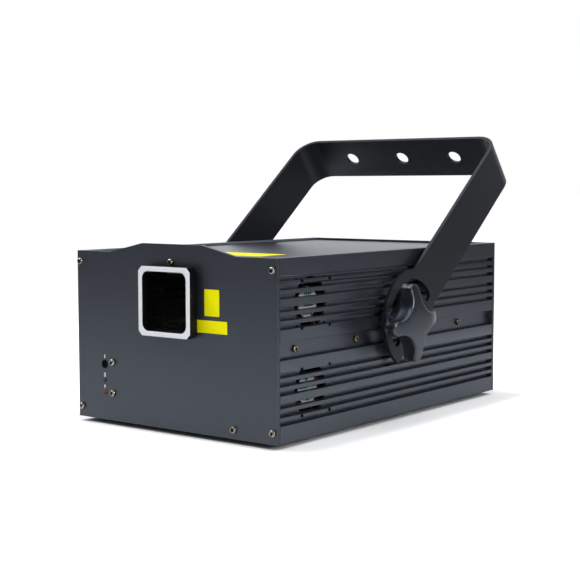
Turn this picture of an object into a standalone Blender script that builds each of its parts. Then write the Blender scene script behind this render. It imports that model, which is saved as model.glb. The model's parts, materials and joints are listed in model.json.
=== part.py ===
"""A stage laser light projector: an extruded aluminium housing with a tilting yoke.

Units are metres and +Z is up. The light leaves through the window in the front plate, towards -Y, and the
sockets are on the rear plate. The origin is on the floor, midway between the outermost points of the whole
projector. Lengths named ..._FROM_FRONT run back from the front plate's outer face, and heights named
..._HEIGHT or ..._FROM_BASE run up from the lower edge of the housing.
"""

import math

import bmesh
import bpy
from mathutils import Matrix, Vector

# Clearances
GAP = 0.0003
FACE_TOLERANCE = 1e-6

# Housing
HOUSING_WIDTH = 0.190
HOUSING_DEPTH = 0.296
HOUSING_HEIGHT = 0.125
END_PLATE = 0.003
CROWN_RISE = 0.007
CROWN_BASE_WIDTH = 0.120
CROWN_TOP_WIDTH = 0.057
SIDE_WALL = 0.007
COVER_THICKNESS = 0.0015
COVER_RECESS = 0.0018
BASE_THICKNESS = 0.002
BASE_RECESS = 0.0015
SLIDE_SLOT_DEPTH = 0.003
GROOVE_HEIGHT = 0.003
GROOVE_DEPTH = 0.005
GROOVE_INNER_OFFSET = 0.0162
GROOVE_EDGE_MARGIN = 0.0137
GROOVE_BREAK = 0.0086
GROOVES_IN_GROUP = 3
CHANNEL_HEIGHT = 0.0118
CHANNEL_DEPTH = 0.0043

# Machine screws
SHANK_RADIUS = 0.00145
HEAD_RADIUS = 0.0025
HEAD_HEIGHT = 0.0016
HEAD_TOP_RADIUS = 0.0018
SOCKET_RADIUS = 0.00125
SOCKET_DEPTH = 0.0009
SCREW_LENGTH = 0.010
SIDE_SCREW_LENGTH = 0.006
SCREW_STEPS = 8
CORNER_SCREW_HEIGHT = 0.008
SIDE_SCREW_START = 0.0243
SIDE_SCREW_SPACING = 0.0725
SIDE_SCREW_COUNT = 4

# Folded tabs that the two middle front screws go into
TAB_WIDTH = 0.014
TAB_THICKNESS = 0.002
TAB_HEIGHT = 0.011
TOP_TAB_SCREW_DROP = 0.0057
BASE_TAB_X = 0.0572
BASE_TAB_SCREW_HEIGHT = 0.0066

# Light window
WINDOW_FROM_TOP = 0.0334
BEZEL_WIDTH = 0.049
BEZEL_TALL = 0.0495
BEZEL_PROUD = 0.008
BEZEL_CHAMFER = 0.0032
BEZEL_RIM = 0.004
BEZEL_CORNER_RADIUS = 0.005
GLASS_THICKNESS = 0.0015
GLASS_LAP = 0.0018

# Microphone and lamps beside it
INDICATOR_X = -0.0674
MICROPHONE_HEIGHT = 0.0415
MICROPHONE_RADIUS = 0.003
LED_RADIUS = 0.0014
LED_FLANGE = 0.0019
LED_TIP_RADIUS = 0.001
LED_TIP_HEIGHT = 0.0008
LED_HEIGHTS = (0.0293, 0.0199)
INDICATOR_SCREW_X = -0.059
INDICATOR_SCREW_HEIGHTS = (0.0433, 0.0205)
INDICATOR_BOARD_WIDTH = 0.022
INDICATOR_BOARD_TALL = 0.036
INDICATOR_BOARD_SETBACK = 0.0065

# Rubber feet
FOOT_RADIUS = 0.010
FOOT_TREAD_RADIUS = 0.009
FOOT_SHOW = 0.0035
FOOT_STEM_RADIUS = 0.003
FOOT_BARB_RADIUS = 0.0042
FOOT_BARB_HEIGHT = 0.003
FOOT_BARB_TIP_RADIUS = 0.0018
FOOT_SIDE_INSET = 0.025
FOOT_END_INSET = 0.040

# Yoke, measured from its pivot
YOKE_PIVOT_FROM_FRONT = 0.1565
YOKE_PIVOT_RISE = 0.0103
YOKE_LEAN = math.radians(51.1)
YOKE_THICKNESS = 0.003
YOKE_STANDOFF = 0.004
YOKE_LENGTH = 0.192
YOKE_BEND_RADIUS = 0.019
YOKE_FRONT_EDGE = 0.0264
YOKE_REAR_EDGE = 0.0127
YOKE_HEAD_RADIUS = 0.0374
YOKE_HEAD_FILLET = 0.008
YOKE_HOLE_RADIUS = 0.006
YOKE_HOLE_SPACING = 0.053
SLOT_TRACK_RADIUS = 0.026
SLOT_START = math.radians(89.0)
SLOT_END = math.radians(266.0)

# Pivot bolts, clamp studs and what sits on them
PIVOT_BOLT_RADIUS = 0.003
PIVOT_HEAD_RADIUS = 0.0055
PIVOT_HEAD_TOP_RADIUS = 0.0041
PIVOT_HEAD_HEIGHT = 0.0035
PIVOT_SOCKET_RADIUS = 0.002
SPACER_RADIUS = 0.009
STUD_RADIUS = 0.0039
BEHIND_WALL = 0.003
WASHER_RADIUS = 0.0105
WASHER_THICKNESS = 0.0016

# Star knobs
KNOB_TIP_RADIUS = 0.029
KNOB_VALLEY_RADIUS = 0.0145
KNOB_VALLEY_CURVE = 0.017
KNOB_TIP_ROUND = 0.0032
KNOB_LOBES = 4
KNOB_LOBE_THICKNESS = 0.010
KNOB_DOME_RISE = 0.003
KNOB_EDGE_BEVEL = 0.0016
KNOB_FACE_SHARE = 0.55
KNOB_HUB_RADIUS = 0.0115
KNOB_HUB_HEIGHT = 0.0078
KNOB_TURN = math.radians(6.0)

# Fans
FAN_SIZE = 0.040
FAN_THICKNESS = 0.010
FAN_CORNER = 0.0035
FAN_BORE_RADIUS = 0.019
FAN_HOLE_SPACING = 0.032
FAN_FROM_FRONT = 0.0434
FAN_OFFSET = 0.0303
FAN_VENT_RADIUS = 0.0183
FAN_HUB_RADIUS = 0.0105
FAN_LABEL_RADIUS = 0.0115
FAN_STRUT_WIDTH = 0.002
FAN_STRUT_THICKNESS = 0.0013
FAN_STRUT_ANGLES = (math.radians(20.0), math.radians(110.0))
FAN_BLADES = 7
FAN_BLADE_TIP = 0.0180
FAN_BLADE_ROOT = 0.0095
FAN_BLADE_CHORD = 0.0076
FAN_BLADE_THICKNESS = 0.001
FAN_BLADE_TWIST = math.radians(40.0)

# Deck that carries the optics, and the rails that hold it
RAIL_FROM_FRONT = 0.022
RAIL_LENGTH = 0.232
RAIL_THICKNESS = 0.002
RAIL_SHELF = 0.016
RAIL_BELOW_SCREWS = 0.009
RAIL_ABOVE_SCREWS = 0.0026
DECK_THICKNESS = 0.006
DECK_EDGE_CLEARANCE = 0.0055
DECK_LENGTH = 0.178

# Scanner
BEAM_FROM_FRONT = 0.034
MIRROR_SPACING = 0.011
MIRROR_THICKNESS = 0.0008
MIRROR_X_LENGTH = 0.009
MIRROR_X_WIDTH = 0.007
MIRROR_Y_LENGTH = 0.014
MIRROR_Y_WIDTH = 0.009
GALVO_RADIUS = 0.0065
GALVO_LENGTH = 0.026
GALVO_SHAFT_RADIUS = 0.0012
GALVO_SHAFT_IN_MOTOR = 0.0156
GALVO_CLAMP_RADIUS = 0.0024
GALVO_CLAMP_LENGTH = 0.004
SCANNER_WALL = 0.0045
SCANNER_FOOT = 0.005
SCANNER_GRIP = 0.016
MIRROR_TURN = math.radians(45.0)

# Lasers and the optics that bring their beams together
LASER_LENGTH = 0.052
LASER_WIDTH = 0.030
LASER_TALL = 0.034
LASER_SIDE_X = -0.002
LASER_SIDE_FROM_FRONT = (0.086, 0.119)
LASER_REAR_FROM_FRONT = 0.168
LASER_MUZZLE_RADIUS = 0.004
LASER_MUZZLE_LENGTH = 0.002
COMBINER_X = -0.050
COMBINER_SIZE = 0.012
COMBINER_THICKNESS = 0.0011
COMBINER_PANE_HALF = 0.0072

# Power supply and circuit boards
STANDOFF_RADIUS = 0.0025
STANDOFF_HEIGHT = 0.006
BOARD_EDGE = 0.004
SUPPLY_WIDTH = 0.082
SUPPLY_LENGTH = 0.098
SUPPLY_TALL = 0.030
SUPPLY_TERMINAL_DEPTH = 0.010
SUPPLY_TERMINAL_HEIGHT = 0.010
SUPPLY_X = -0.012
SUPPLY_FROM_FRONT = 0.150
BOARD_THICKNESS = 0.0016
DRIVER_BOARD_SIZE = (0.096, 0.060)
DRIVER_BOARD_FROM_FRONT = 0.058
HEAT_SINK_SIZE = (0.064, 0.015, 0.010)
HEAT_SINK_PLACE = -0.0075
CHIP_SIZE = (0.048, 0.0125, 0.006)
CHIP_PLACE = 0.01375
MAIN_BOARD_SIZE = (0.068, 0.056)
MAIN_BOARD_X = 0.012
MAIN_BOARD_FROM_TOP = 0.035
MAIN_BOARD_SETBACK = 0.0085

# Rear panel: sockets, switches and controls, all seen from the housing's middle
FLANGE_THICKNESS = 0.002
INLET_X = 0.062
INLET_HEIGHT = 0.030
INLET_FLANGE = (0.050, 0.031)
INLET_BODY = (0.0264, 0.0290)
INLET_BODY_DEPTH = 0.022
INLET_SOCKET = (0.0236, 0.0154)
INLET_SOCKET_DEPTH = 0.014
INLET_SOCKET_RISE = 0.0045
INLET_PIN = (0.002, 0.004)
INLET_PIN_SPACING = 0.014
INLET_PIN_DROP = 0.001
INLET_EARTH_RISE = 0.003
INLET_SCREW_SPACING = 0.040
FUSE_SIZE = (0.0200, 0.0056)
FUSE_DROP = 0.0098
FUSE_DEPTH = 0.016
FUSE_LIP = 0.0012
SWITCH_X = 0.062
SWITCH_RISE = 0.0025
SWITCH_FLANGE = (0.015, 0.021)
SWITCH_BODY = (0.0128, 0.0188)
SWITCH_WELL = (0.0104, 0.0178)
SWITCH_BODY_DEPTH = 0.014
SWITCH_WELL_DEPTH = 0.010
ROCKER_WIDTH = 0.0098
ROCKER_HALF_LENGTH = 0.0080
ROCKER_TIP = 0.0032
ROCKER_WAIST = 0.0022
ROCKER_ROOT = 0.003
ROCKER_ROOT_HALF_LENGTH = 0.006
ROCKER_TILT = math.radians(9.0)
KEY_X = 0.062
KEY_FROM_TOP = 0.028
KEY_FLANGE_RADIUS = 0.0095
KEY_BODY_RADIUS = 0.008
KEY_BODY_DEPTH = 0.024
KEY_BARREL_RADIUS = 0.006
KEY_BARREL_DEPTH = 0.016
KEY_BLADE = (0.0018, 0.0066)
KEY_BLADE_DEPTH = 0.010
KEY_BOW_SIZE = 0.0125
KEY_BOW_THICKNESS = 0.0024
KEY_BOW_HOLE = 0.0025
KEY_REACH = 0.0165
DMX_IN_X = -0.062
DMX_OUT_X = -0.030
DMX_HEIGHT = 0.030
DMX_FLANGE = (0.026, 0.031)
DMX_FLANGE_CORNER = 0.003
DMX_BODY_RADIUS = 0.0118
DMX_BODY_DEPTH = 0.020
DMX_CAVITY_RADIUS = 0.0092
DMX_CAVITY_DEPTH = 0.013
DMX_PIN_CIRCLE = 0.005
DMX_PIN_RADIUS = 0.0012
DMX_PIN_ANGLES = (math.radians(30.0), math.radians(150.0), math.radians(270.0))
DMX_SCREW_OFFSET = (0.0095, 0.012)
CONTROL_PORT_X = -0.046
CONTROL_PORT_HEIGHT = 0.070
CONTROL_PORT_FLANGE = (0.053, 0.0125)
CONTROL_PORT_FLANGE_THICKNESS = 0.001
CONTROL_PORT_CORNER = 0.002
CONTROL_PORT_BODY = (0.041, 0.0104)
CONTROL_PORT_BODY_DEPTH = 0.009
CONTROL_PORT_SHELL = (0.0383, 0.0083)
CONTROL_PORT_SHELL_SLOPE = 0.0012
CONTROL_PORT_SHELL_PROUD = 0.0055
CONTROL_PORT_POST_SPACING = 0.047
CONTROL_PORT_POST_FLATS = 0.0048
CONTROL_PORT_POST_PROUD = 0.005
DISPLAY_X = 0.010
DISPLAY_FROM_TOP = 0.027
DISPLAY_SIZE = (0.044, 0.015)
BUTTON_FROM_TOP = 0.049
BUTTON_SPACING = 0.012
BUTTON_COUNT = 4
BUTTON_RADIUS = 0.003
BUTTON_COLLAR = 0.0038
BUTTON_COLLAR_LENGTH = 0.0015
BUTTON_PROUD = 0.002
BUTTON_TRAVEL = 0.001
EYE_X = -0.066
EYE_FROM_TOP = 0.020
EYE_RING_RADIUS = 0.0075
EYE_WIRE_RADIUS = 0.0022
EYE_SHANK_RADIUS = 0.0029
EYE_COLLAR_RADIUS = 0.0055
EYE_COLLAR = 0.0025
EYE_BEHIND_PLATE = 0.006
VENT_COUNT = 6
VENT_WIDTH = 0.003
VENT_TALL = 0.028
VENT_CORNER = 0.00135
VENT_SPACING = 0.006
VENT_CENTRE_X = 0.009
VENT_HEIGHT = 0.030

# Places worked out from the sizes above
HALF_WIDTH = HOUSING_WIDTH / 2
YOKE_OUTER_X = HALF_WIDTH + YOKE_STANDOFF + YOKE_THICKNESS
YOKE_REACH = (YOKE_PIVOT_FROM_FRONT + YOKE_LENGTH * math.sin(YOKE_LEAN)
              + YOKE_REAR_EDGE * math.cos(YOKE_LEAN))
EYE_CENTRE_FROM_FRONT = HOUSING_DEPTH + GAP + EYE_COLLAR + EYE_RING_RADIUS + EYE_WIRE_RADIUS / 2
EYE_REACH = EYE_CENTRE_FROM_FRONT + EYE_RING_RADIUS + EYE_WIRE_RADIUS
REAR_REACH = max(YOKE_REACH, EYE_REACH, HOUSING_DEPTH + KEY_REACH)
FRONT_Y = (BEZEL_PROUD - REAR_REACH) / 2
BASE_Z = FOOT_SHOW
PORT_RADIUS = SHANK_RADIUS + GAP
PORT_X = HALF_WIDTH - SIDE_WALL / 2
INNER_X = HALF_WIDTH - SIDE_WALL
MID_HEIGHT = HOUSING_HEIGHT / 2
WINDOW_HEIGHT = HOUSING_HEIGHT - WINDOW_FROM_TOP
YOKE_PIVOT_HEIGHT = MID_HEIGHT + YOKE_PIVOT_RISE
KEY_HEIGHT = HOUSING_HEIGHT - KEY_FROM_TOP
SWITCH_HEIGHT = (INLET_HEIGHT + KEY_HEIGHT) / 2 + SWITCH_RISE
DISPLAY_HEIGHT = HOUSING_HEIGHT - DISPLAY_FROM_TOP
BUTTON_HEIGHT = HOUSING_HEIGHT - BUTTON_FROM_TOP
EYE_HEIGHT = HOUSING_HEIGHT - EYE_FROM_TOP
MAIN_BOARD_HEIGHT = HOUSING_HEIGHT - MAIN_BOARD_FROM_TOP
COVER_TOP = HOUSING_HEIGHT - COVER_RECESS
COVER_HALF_WIDTH = INNER_X + SLIDE_SLOT_DEPTH - GAP
RAIL_BOTTOM = MID_HEIGHT - RAIL_BELOW_SCREWS
RAIL_TOP = MID_HEIGHT + RAIL_ABOVE_SCREWS
DECK_BOTTOM = RAIL_BOTTOM + RAIL_THICKNESS + GAP
DECK_TOP = DECK_BOTTOM + DECK_THICKNESS
REAR_FACE = HOUSING_DEPTH
STUD_FROM_FRONT = YOKE_PIVOT_FROM_FRONT - SLOT_TRACK_RADIUS
SLOT_HALF_WIDTH = STUD_RADIUS + GAP
HUB_START_X = YOKE_OUTER_X + GAP + WASHER_THICKNESS + GAP
LOBE_START_X = HUB_START_X + KNOB_HUB_HEIGHT
SIDES = (("right", 1), ("left", -1))

# Directions that a flat outline or a turned shape is laid in
UPRIGHT = Matrix.Identity(4)
FACING_FRONT = Matrix.Rotation(math.radians(90), 4, "X")
FACING_SIDE = Matrix(((0, 0, 1, 0), (1, 0, 0, 0), (0, 1, 0, 0), (0, 0, 0, 1)))
TOWARDS_REAR = Matrix.Rotation(math.radians(-90), 4, "X")
TOWARDS_FRONT = Matrix.Rotation(math.radians(90), 4, "X")
TOWARDS_RIGHT = Matrix.Rotation(math.radians(90), 4, "Y")
TOWARDS_LEFT = Matrix.Rotation(math.radians(-90), 4, "Y")
OUTWARD = {1: TOWARDS_RIGHT, -1: TOWARDS_LEFT}

# Colour, roughness and metallic value of each finish
FINISHES = {
    "powder_coat": ((0.030, 0.031, 0.035), 0.55, 0.0),
    "black_anodised": ((0.040, 0.041, 0.046), 0.38, 0.6),
    "satin_black": ((0.020, 0.020, 0.023), 0.42, 0.0),
    "top_sheet": ((0.045, 0.046, 0.050), 0.35, 0.2),
    "black_plastic": ((0.018, 0.018, 0.020), 0.35, 0.0),
    "rubber": ((0.015, 0.015, 0.015), 0.85, 0.0),
    "bright_steel": ((0.60, 0.60, 0.58), 0.25, 1.0),
    "black_steel": ((0.020, 0.020, 0.022), 0.40, 0.7),
    "aluminium": ((0.72, 0.73, 0.75), 0.35, 1.0),
    "silver_rim": ((0.80, 0.81, 0.84), 0.30, 0.3),
    "glass": ((0.55, 0.60, 0.62), 0.05, 0.0),
    "mirror": ((0.90, 0.86, 0.70), 0.03, 1.0),
    "board": ((0.010, 0.110, 0.045), 0.45, 0.0),
    "red_lens": ((0.45, 0.02, 0.015), 0.20, 0.0),
    "display": ((0.10, 0.008, 0.008), 0.15, 0.0),
    "brass": ((0.78, 0.58, 0.25), 0.30, 1.0),
}


def at(x, from_front, from_base):
    """World place of a point given from the housing's middle, front face and lower edge."""
    return Vector((x, FRONT_Y + from_front, BASE_Z + from_base))


def moved(place, turn=UPRIGHT):
    """Matrix that turns a shape and then carries it to a place."""
    return Matrix.Translation(place) @ turn


def arc(centre, radius, start, end, count):
    """Points along an arc, both ends included; angles in radians, anticlockwise when end > start."""
    return [(centre[0] + radius * math.cos(start + (end - start) * i / count),
             centre[1] + radius * math.sin(start + (end - start) * i / count))
            for i in range(count + 1)]


def circle(centre, radius, count=SCREW_STEPS):
    """A closed ring of points."""
    return arc(centre, radius, 0, math.tau, count)[:-1]


def rectangle(centre, width, height):
    """The four corners of a rectangle."""
    x, y = centre
    return [(x - width / 2, y - height / 2), (x + width / 2, y - height / 2),
            (x + width / 2, y + height / 2), (x - width / 2, y + height / 2)]


def rounded_rectangle(centre, width, height, radius, count=4):
    """A rectangle with an arc at each corner."""
    points = []
    for quarter, (sx, sy) in enumerate(((1, 1), (-1, 1), (-1, -1), (1, -1))):
        corner = (centre[0] + sx * (width / 2 - radius), centre[1] + sy * (height / 2 - radius))
        points += arc(corner, radius, quarter * math.pi / 2, (quarter + 1) * math.pi / 2, count)
    return points


def chamfered_rectangle(centre, width, height, chamfer):
    """A rectangle with a straight cut at each corner."""
    return rounded_rectangle(centre, width, height, chamfer, 1)


def hexagon(centre, flats):
    """A hexagon with two flats across the second axis."""
    return circle(centre, flats / math.sqrt(3), 6)


def evaluated_mesh(obj):
    """The mesh an object shows, welded and with its faces pointing out; the object is removed."""
    bpy.context.scene.collection.objects.link(obj)
    seen = obj.evaluated_get(bpy.context.evaluated_depsgraph_get())
    mesh = bpy.data.meshes.new_from_object(seen)
    bpy.data.objects.remove(obj)
    form = bmesh.new()
    form.from_mesh(mesh)
    bmesh.ops.remove_doubles(form, verts=form.verts, dist=FACE_TOLERANCE)
    bmesh.ops.recalc_face_normals(form, faces=form.faces)
    form.to_mesh(mesh)
    form.free()
    return mesh


def outline_mesh(loops, thickness):
    """A flat plate in XY, centred on Z; the first loop is its edge and the others are holes."""
    curve = bpy.data.curves.new("outline", "CURVE")
    curve.dimensions = "2D"
    curve.fill_mode = "BOTH"
    curve.extrude = thickness / 2
    for loop in loops:
        spline = curve.splines.new("POLY")
        spline.points.add(len(loop) - 1)
        for point, (x, y) in zip(spline.points, loop):
            point.co = (x, y, 0, 1)
        spline.use_cyclic_u = True
    return evaluated_mesh(bpy.data.objects.new("outline", curve))


def turned_mesh(profile, steps, closed=False):
    """A shape turned about Z from (radius, height) points that run down its outer side."""
    mesh = bpy.data.meshes.new("profile")
    edges = [(i, i + 1) for i in range(len(profile) - 1)]
    if closed:
        edges.append((len(profile) - 1, 0))
    mesh.from_pydata([(radius, 0, height) for radius, height in profile], edges, [])
    obj = bpy.data.objects.new("profile", mesh)
    turn = obj.modifiers.new("Turn", "SCREW")
    turn.steps = turn.render_steps = steps
    turn.use_merge_vertices = True
    turn.merge_threshold = FACE_TOLERANCE
    return evaluated_mesh(obj)


def ring_mesh(inner, outer, low, high, steps):
    """A washer or spacer turned about Z."""
    return turned_mesh([(outer, high), (outer, low), (inner, low), (inner, high)], steps, closed=True)


def cylinder_mesh(radius, low, high, steps):
    """A round bar along Z between two heights."""
    return turned_mesh([(0, high), (radius, high), (radius, low), (0, low)], steps)


def ring_wire_mesh(centre, ring, wire):
    """A round wire bent to a closed ring in the YZ plane."""
    curve = bpy.data.curves.new("wire", "CURVE")
    curve.dimensions = "3D"
    curve.bevel_depth = wire
    curve.bevel_resolution = 2
    spline = curve.splines.new("POLY")
    places = circle((0, 0), ring, 20)
    spline.points.add(len(places) - 1)
    for point, (y, z) in zip(spline.points, places):
        point.co = (*(centre + Vector((0, y, z))), 1)
    spline.use_cyclic_u = True
    return evaluated_mesh(bpy.data.objects.new("wire", curve))


def box_mesh(low, high):
    """A block between two corners."""
    form = bmesh.new()
    bmesh.ops.create_cube(form, size=1)
    low, high = Vector(low), Vector(high)
    size = Matrix.Diagonal((*(high - low), 1))
    bmesh.ops.transform(form, matrix=Matrix.Translation((low + high) / 2) @ size, verts=form.verts)
    mesh = bpy.data.meshes.new("block")
    form.to_mesh(mesh)
    form.free()
    return mesh


def group_mesh(pieces):
    """One mesh of several separate solids, each a (mesh, matrix) pair."""
    form = bmesh.new()
    for mesh, matrix in pieces:
        copy = mesh.copy()
        copy.transform(matrix)
        form.from_mesh(copy)
        bpy.data.meshes.remove(copy)
    mesh = bpy.data.meshes.new("group")
    form.to_mesh(mesh)
    form.free()
    return mesh


def repeated(mesh, matrices):
    """The same solid at several places, as one mesh."""
    return group_mesh([(mesh, matrix) for matrix in matrices])


def domed_mesh(outline):
    """A knob's star outline carried along +X: eased edges, upright sides and a face that domes to its middle."""
    thickness, bevel = KNOB_LOBE_THICKNESS, KNOB_EDGE_BEVEL
    eased = 1 - bevel / KNOB_TIP_RADIUS
    rings = [(eased, 0), (1, bevel), (1, thickness - bevel)]
    rings += [(share, thickness + KNOB_DOME_RISE * (1 - share ** 2)) for share in (eased, KNOB_FACE_SHARE)]
    form = bmesh.new()
    loops = [[form.verts.new((height, share * y, share * z)) for y, z in outline] for share, height in rings]
    for lower, upper in zip(loops, loops[1:]):
        for i in range(len(outline)):
            form.faces.new((lower[i - 1], lower[i], upper[i], upper[i - 1]))
    middle = form.verts.new((thickness + KNOB_DOME_RISE, 0, 0))
    for i in range(len(outline)):
        form.faces.new((loops[-1][i - 1], loops[-1][i], middle))
    form.faces.new(loops[0])
    bmesh.ops.recalc_face_normals(form, faces=form.faces)
    mesh = bpy.data.meshes.new("dome")
    form.to_mesh(mesh)
    form.free()
    return mesh


def screw_mesh(length=SCREW_LENGTH):
    """A button-head screw with its head's seat at zero and its shank along -Z."""
    floor = HEAD_HEIGHT - SOCKET_DEPTH
    return turned_mesh([(0, floor), (SOCKET_RADIUS, floor), (SOCKET_RADIUS, HEAD_HEIGHT),
                        (HEAD_TOP_RADIUS, HEAD_HEIGHT), (HEAD_RADIUS, 0), (SHANK_RADIUS, 0),
                        (SHANK_RADIUS, -length), (0, -length)], SCREW_STEPS)


class Projector:
    """The collections, and the two ways of adding a solid to them."""

    def __init__(self):
        self.parts = bpy.data.collections.new("laser_projector")
        self.cutters = bpy.data.collections.new("cutters")
        for collection in (self.parts, self.cutters):
            bpy.context.scene.collection.children.link(collection)

    def add(self, name, mesh, finish, matrix=UPRIGHT, parent=None):
        """Adds a named solid with its own material."""
        obj = bpy.data.objects.new(name, mesh)
        mesh.name = name
        self.parts.objects.link(obj)
        colour, roughness, metallic = FINISHES[finish]
        material = bpy.data.materials.new(name)
        material.use_nodes = True
        shader = material.node_tree.nodes["Principled BSDF"]
        shader.inputs["Base Color"].default_value = (*colour, 1)
        shader.inputs["Roughness"].default_value = roughness
        shader.inputs["Metallic"].default_value = metallic
        mesh.materials.clear()
        mesh.materials.append(material)
        mesh.shade_smooth()
        mesh.set_sharp_from_angle(angle=math.radians(35))
        if parent:
            obj.parent = parent
            matrix = Matrix.Translation(-parent.location) @ matrix
        obj.matrix_basis = matrix
        return obj

    def axis(self, name, place):
        """An empty on a joint's axis, which the moving pieces hang on."""
        empty = bpy.data.objects.new(name, None)
        empty.location = place
        empty.empty_display_size = 0.01
        self.parts.objects.link(empty)
        return empty

    def shape(self, obj, operation, mesh, matrix=UPRIGHT):
        """Cuts a tool's solid out of an object, joins it on, or keeps what both hold."""
        tool = bpy.data.objects.new(f"{obj.name}_{operation.lower()}", mesh)
        tool.matrix_basis = matrix
        tool.hide_render = True
        tool.display_type = "WIRE"
        self.cutters.objects.link(tool)
        modifier = obj.modifiers.new(operation.title(), "BOOLEAN")
        modifier.operation = operation
        modifier.solver = "EXACT"
        modifier.object = tool

    def cut(self, obj, mesh, matrix=UPRIGHT):
        self.shape(obj, "DIFFERENCE", mesh, matrix)

    def join(self, obj, mesh, matrix=UPRIGHT):
        self.shape(obj, "UNION", mesh, matrix)

    def keep(self, obj, mesh, matrix=UPRIGHT):
        self.shape(obj, "INTERSECT", mesh, matrix)


def fan_centres(side):
    """Each vent's name and the point on its axis at half a fan's thickness inside the wall."""
    x = INNER_X - GAP - FAN_THICKNESS / 2
    return [(level, at(side * x, FAN_FROM_FRONT, MID_HEIGHT + lift * FAN_OFFSET))
            for level, lift in (("upper", 1), ("lower", -1))]


def fan_corner_offsets():
    """Where a fan's four screws lie around its axis, along Y and Z."""
    half = FAN_HOLE_SPACING / 2
    return [(dy, dz) for dy in (-half, half) for dz in (-half, half)]


def side_screw_stations():
    """Distances of the side channel's screws from the front."""
    return [SIDE_SCREW_START + i * SIDE_SCREW_SPACING for i in range(SIDE_SCREW_COUNT)]


def corner_screws():
    """The four corner screws of an end plate, as x and height."""
    return [(side * PORT_X, height) for side in (1, -1)
            for height in (CORNER_SCREW_HEIGHT, HOUSING_HEIGHT - CORNER_SCREW_HEIGHT)]


def front_screw_holes():
    """Every screw hole in the front plate, as x and height."""
    return (corner_screws() + [(0, HOUSING_HEIGHT - TOP_TAB_SCREW_DROP), (BASE_TAB_X, BASE_TAB_SCREW_HEIGHT)]
            + [(INDICATOR_SCREW_X, height) for height in INDICATOR_SCREW_HEIGHTS])


def standoff_places(x, from_front, size):
    """The x and distance from the front of the four standoffs under a board."""
    width, length = size
    return [(x + sx * (width / 2 - BOARD_EDGE), from_front + sy * (length / 2 - BOARD_EDGE))
            for sx in (-1, 1) for sy in (-1, 1)]


def button_places():
    """The x of each menu button."""
    middle = (BUTTON_COUNT - 1) / 2
    return [DISPLAY_X + (i - middle) * BUTTON_SPACING for i in range(BUTTON_COUNT)]


def front_plate(projector):
    """The flat front with a low crown on its upper edge, cut for window, screws and lamps."""
    edge = [(-HALF_WIDTH, 0), (HALF_WIDTH, 0), (HALF_WIDTH, HOUSING_HEIGHT),
            (CROWN_BASE_WIDTH / 2, HOUSING_HEIGHT), (CROWN_TOP_WIDTH / 2, HOUSING_HEIGHT + CROWN_RISE),
            (-CROWN_TOP_WIDTH / 2, HOUSING_HEIGHT + CROWN_RISE), (-CROWN_BASE_WIDTH / 2, HOUSING_HEIGHT),
            (-HALF_WIDTH, HOUSING_HEIGHT)]
    width, tall = window_size()
    holes = [rounded_rectangle((0, WINDOW_HEIGHT), width, tall, BEZEL_CORNER_RADIUS)]
    holes += [circle(place, PORT_RADIUS) for place in front_screw_holes()]
    holes.append(circle((INDICATOR_X, MICROPHONE_HEIGHT), MICROPHONE_RADIUS + GAP, 14))
    holes += [circle((INDICATOR_X, height), LED_RADIUS + GAP, 10) for height in LED_HEIGHTS]
    projector.add("front_plate", outline_mesh([edge, *holes], END_PLATE), "powder_coat",
                  moved(at(0, END_PLATE / 2, 0), FACING_FRONT))


def window_size():
    """Width and height of the clear opening inside the bezel."""
    return BEZEL_WIDTH - 2 * BEZEL_RIM, BEZEL_TALL - 2 * BEZEL_RIM


def groove_offsets():
    """How far each groove's middle lies above or below the channel: two groups with a wider land between."""
    inner, outer = GROOVE_INNER_OFFSET, MID_HEIGHT - GROOVE_EDGE_MARGIN
    step = (outer - inner - GROOVE_BREAK) / (2 * (GROOVES_IN_GROUP - 1))
    return ([inner + i * step for i in range(GROOVES_IN_GROUP)]
            + [outer - i * step for i in range(GROOVES_IN_GROUP)])


def side_section(side):
    """Cross-section of a side extrusion in X and height, with grooves, channel and slide-in slots."""
    outer = HALF_WIDTH
    points = [(outer, 0)]
    cuts = [(MID_HEIGHT + sign * offset, GROOVE_HEIGHT, GROOVE_DEPTH)
            for offset in groove_offsets() for sign in (1, -1)]
    cuts.append((MID_HEIGHT, CHANNEL_HEIGHT, CHANNEL_DEPTH))
    for middle, tall, depth in sorted(cuts):
        points += [(outer, middle - tall / 2), (outer - depth, middle - tall / 2),
                   (outer - depth, middle + tall / 2), (outer, middle + tall / 2)]
    points += [(outer, HOUSING_HEIGHT), (INNER_X, HOUSING_HEIGHT)]
    slots = ((COVER_TOP + GAP, COVER_TOP - COVER_THICKNESS - GAP),
             (BASE_RECESS + BASE_THICKNESS + GAP, BASE_RECESS - GAP))
    for high, low in slots:
        points += [(INNER_X, high), (INNER_X + SLIDE_SLOT_DEPTH, high),
                   (INNER_X + SLIDE_SLOT_DEPTH, low), (INNER_X, low)]
    points.append((INNER_X, 0))
    return [(side * x, height) for x, height in points]


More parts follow.
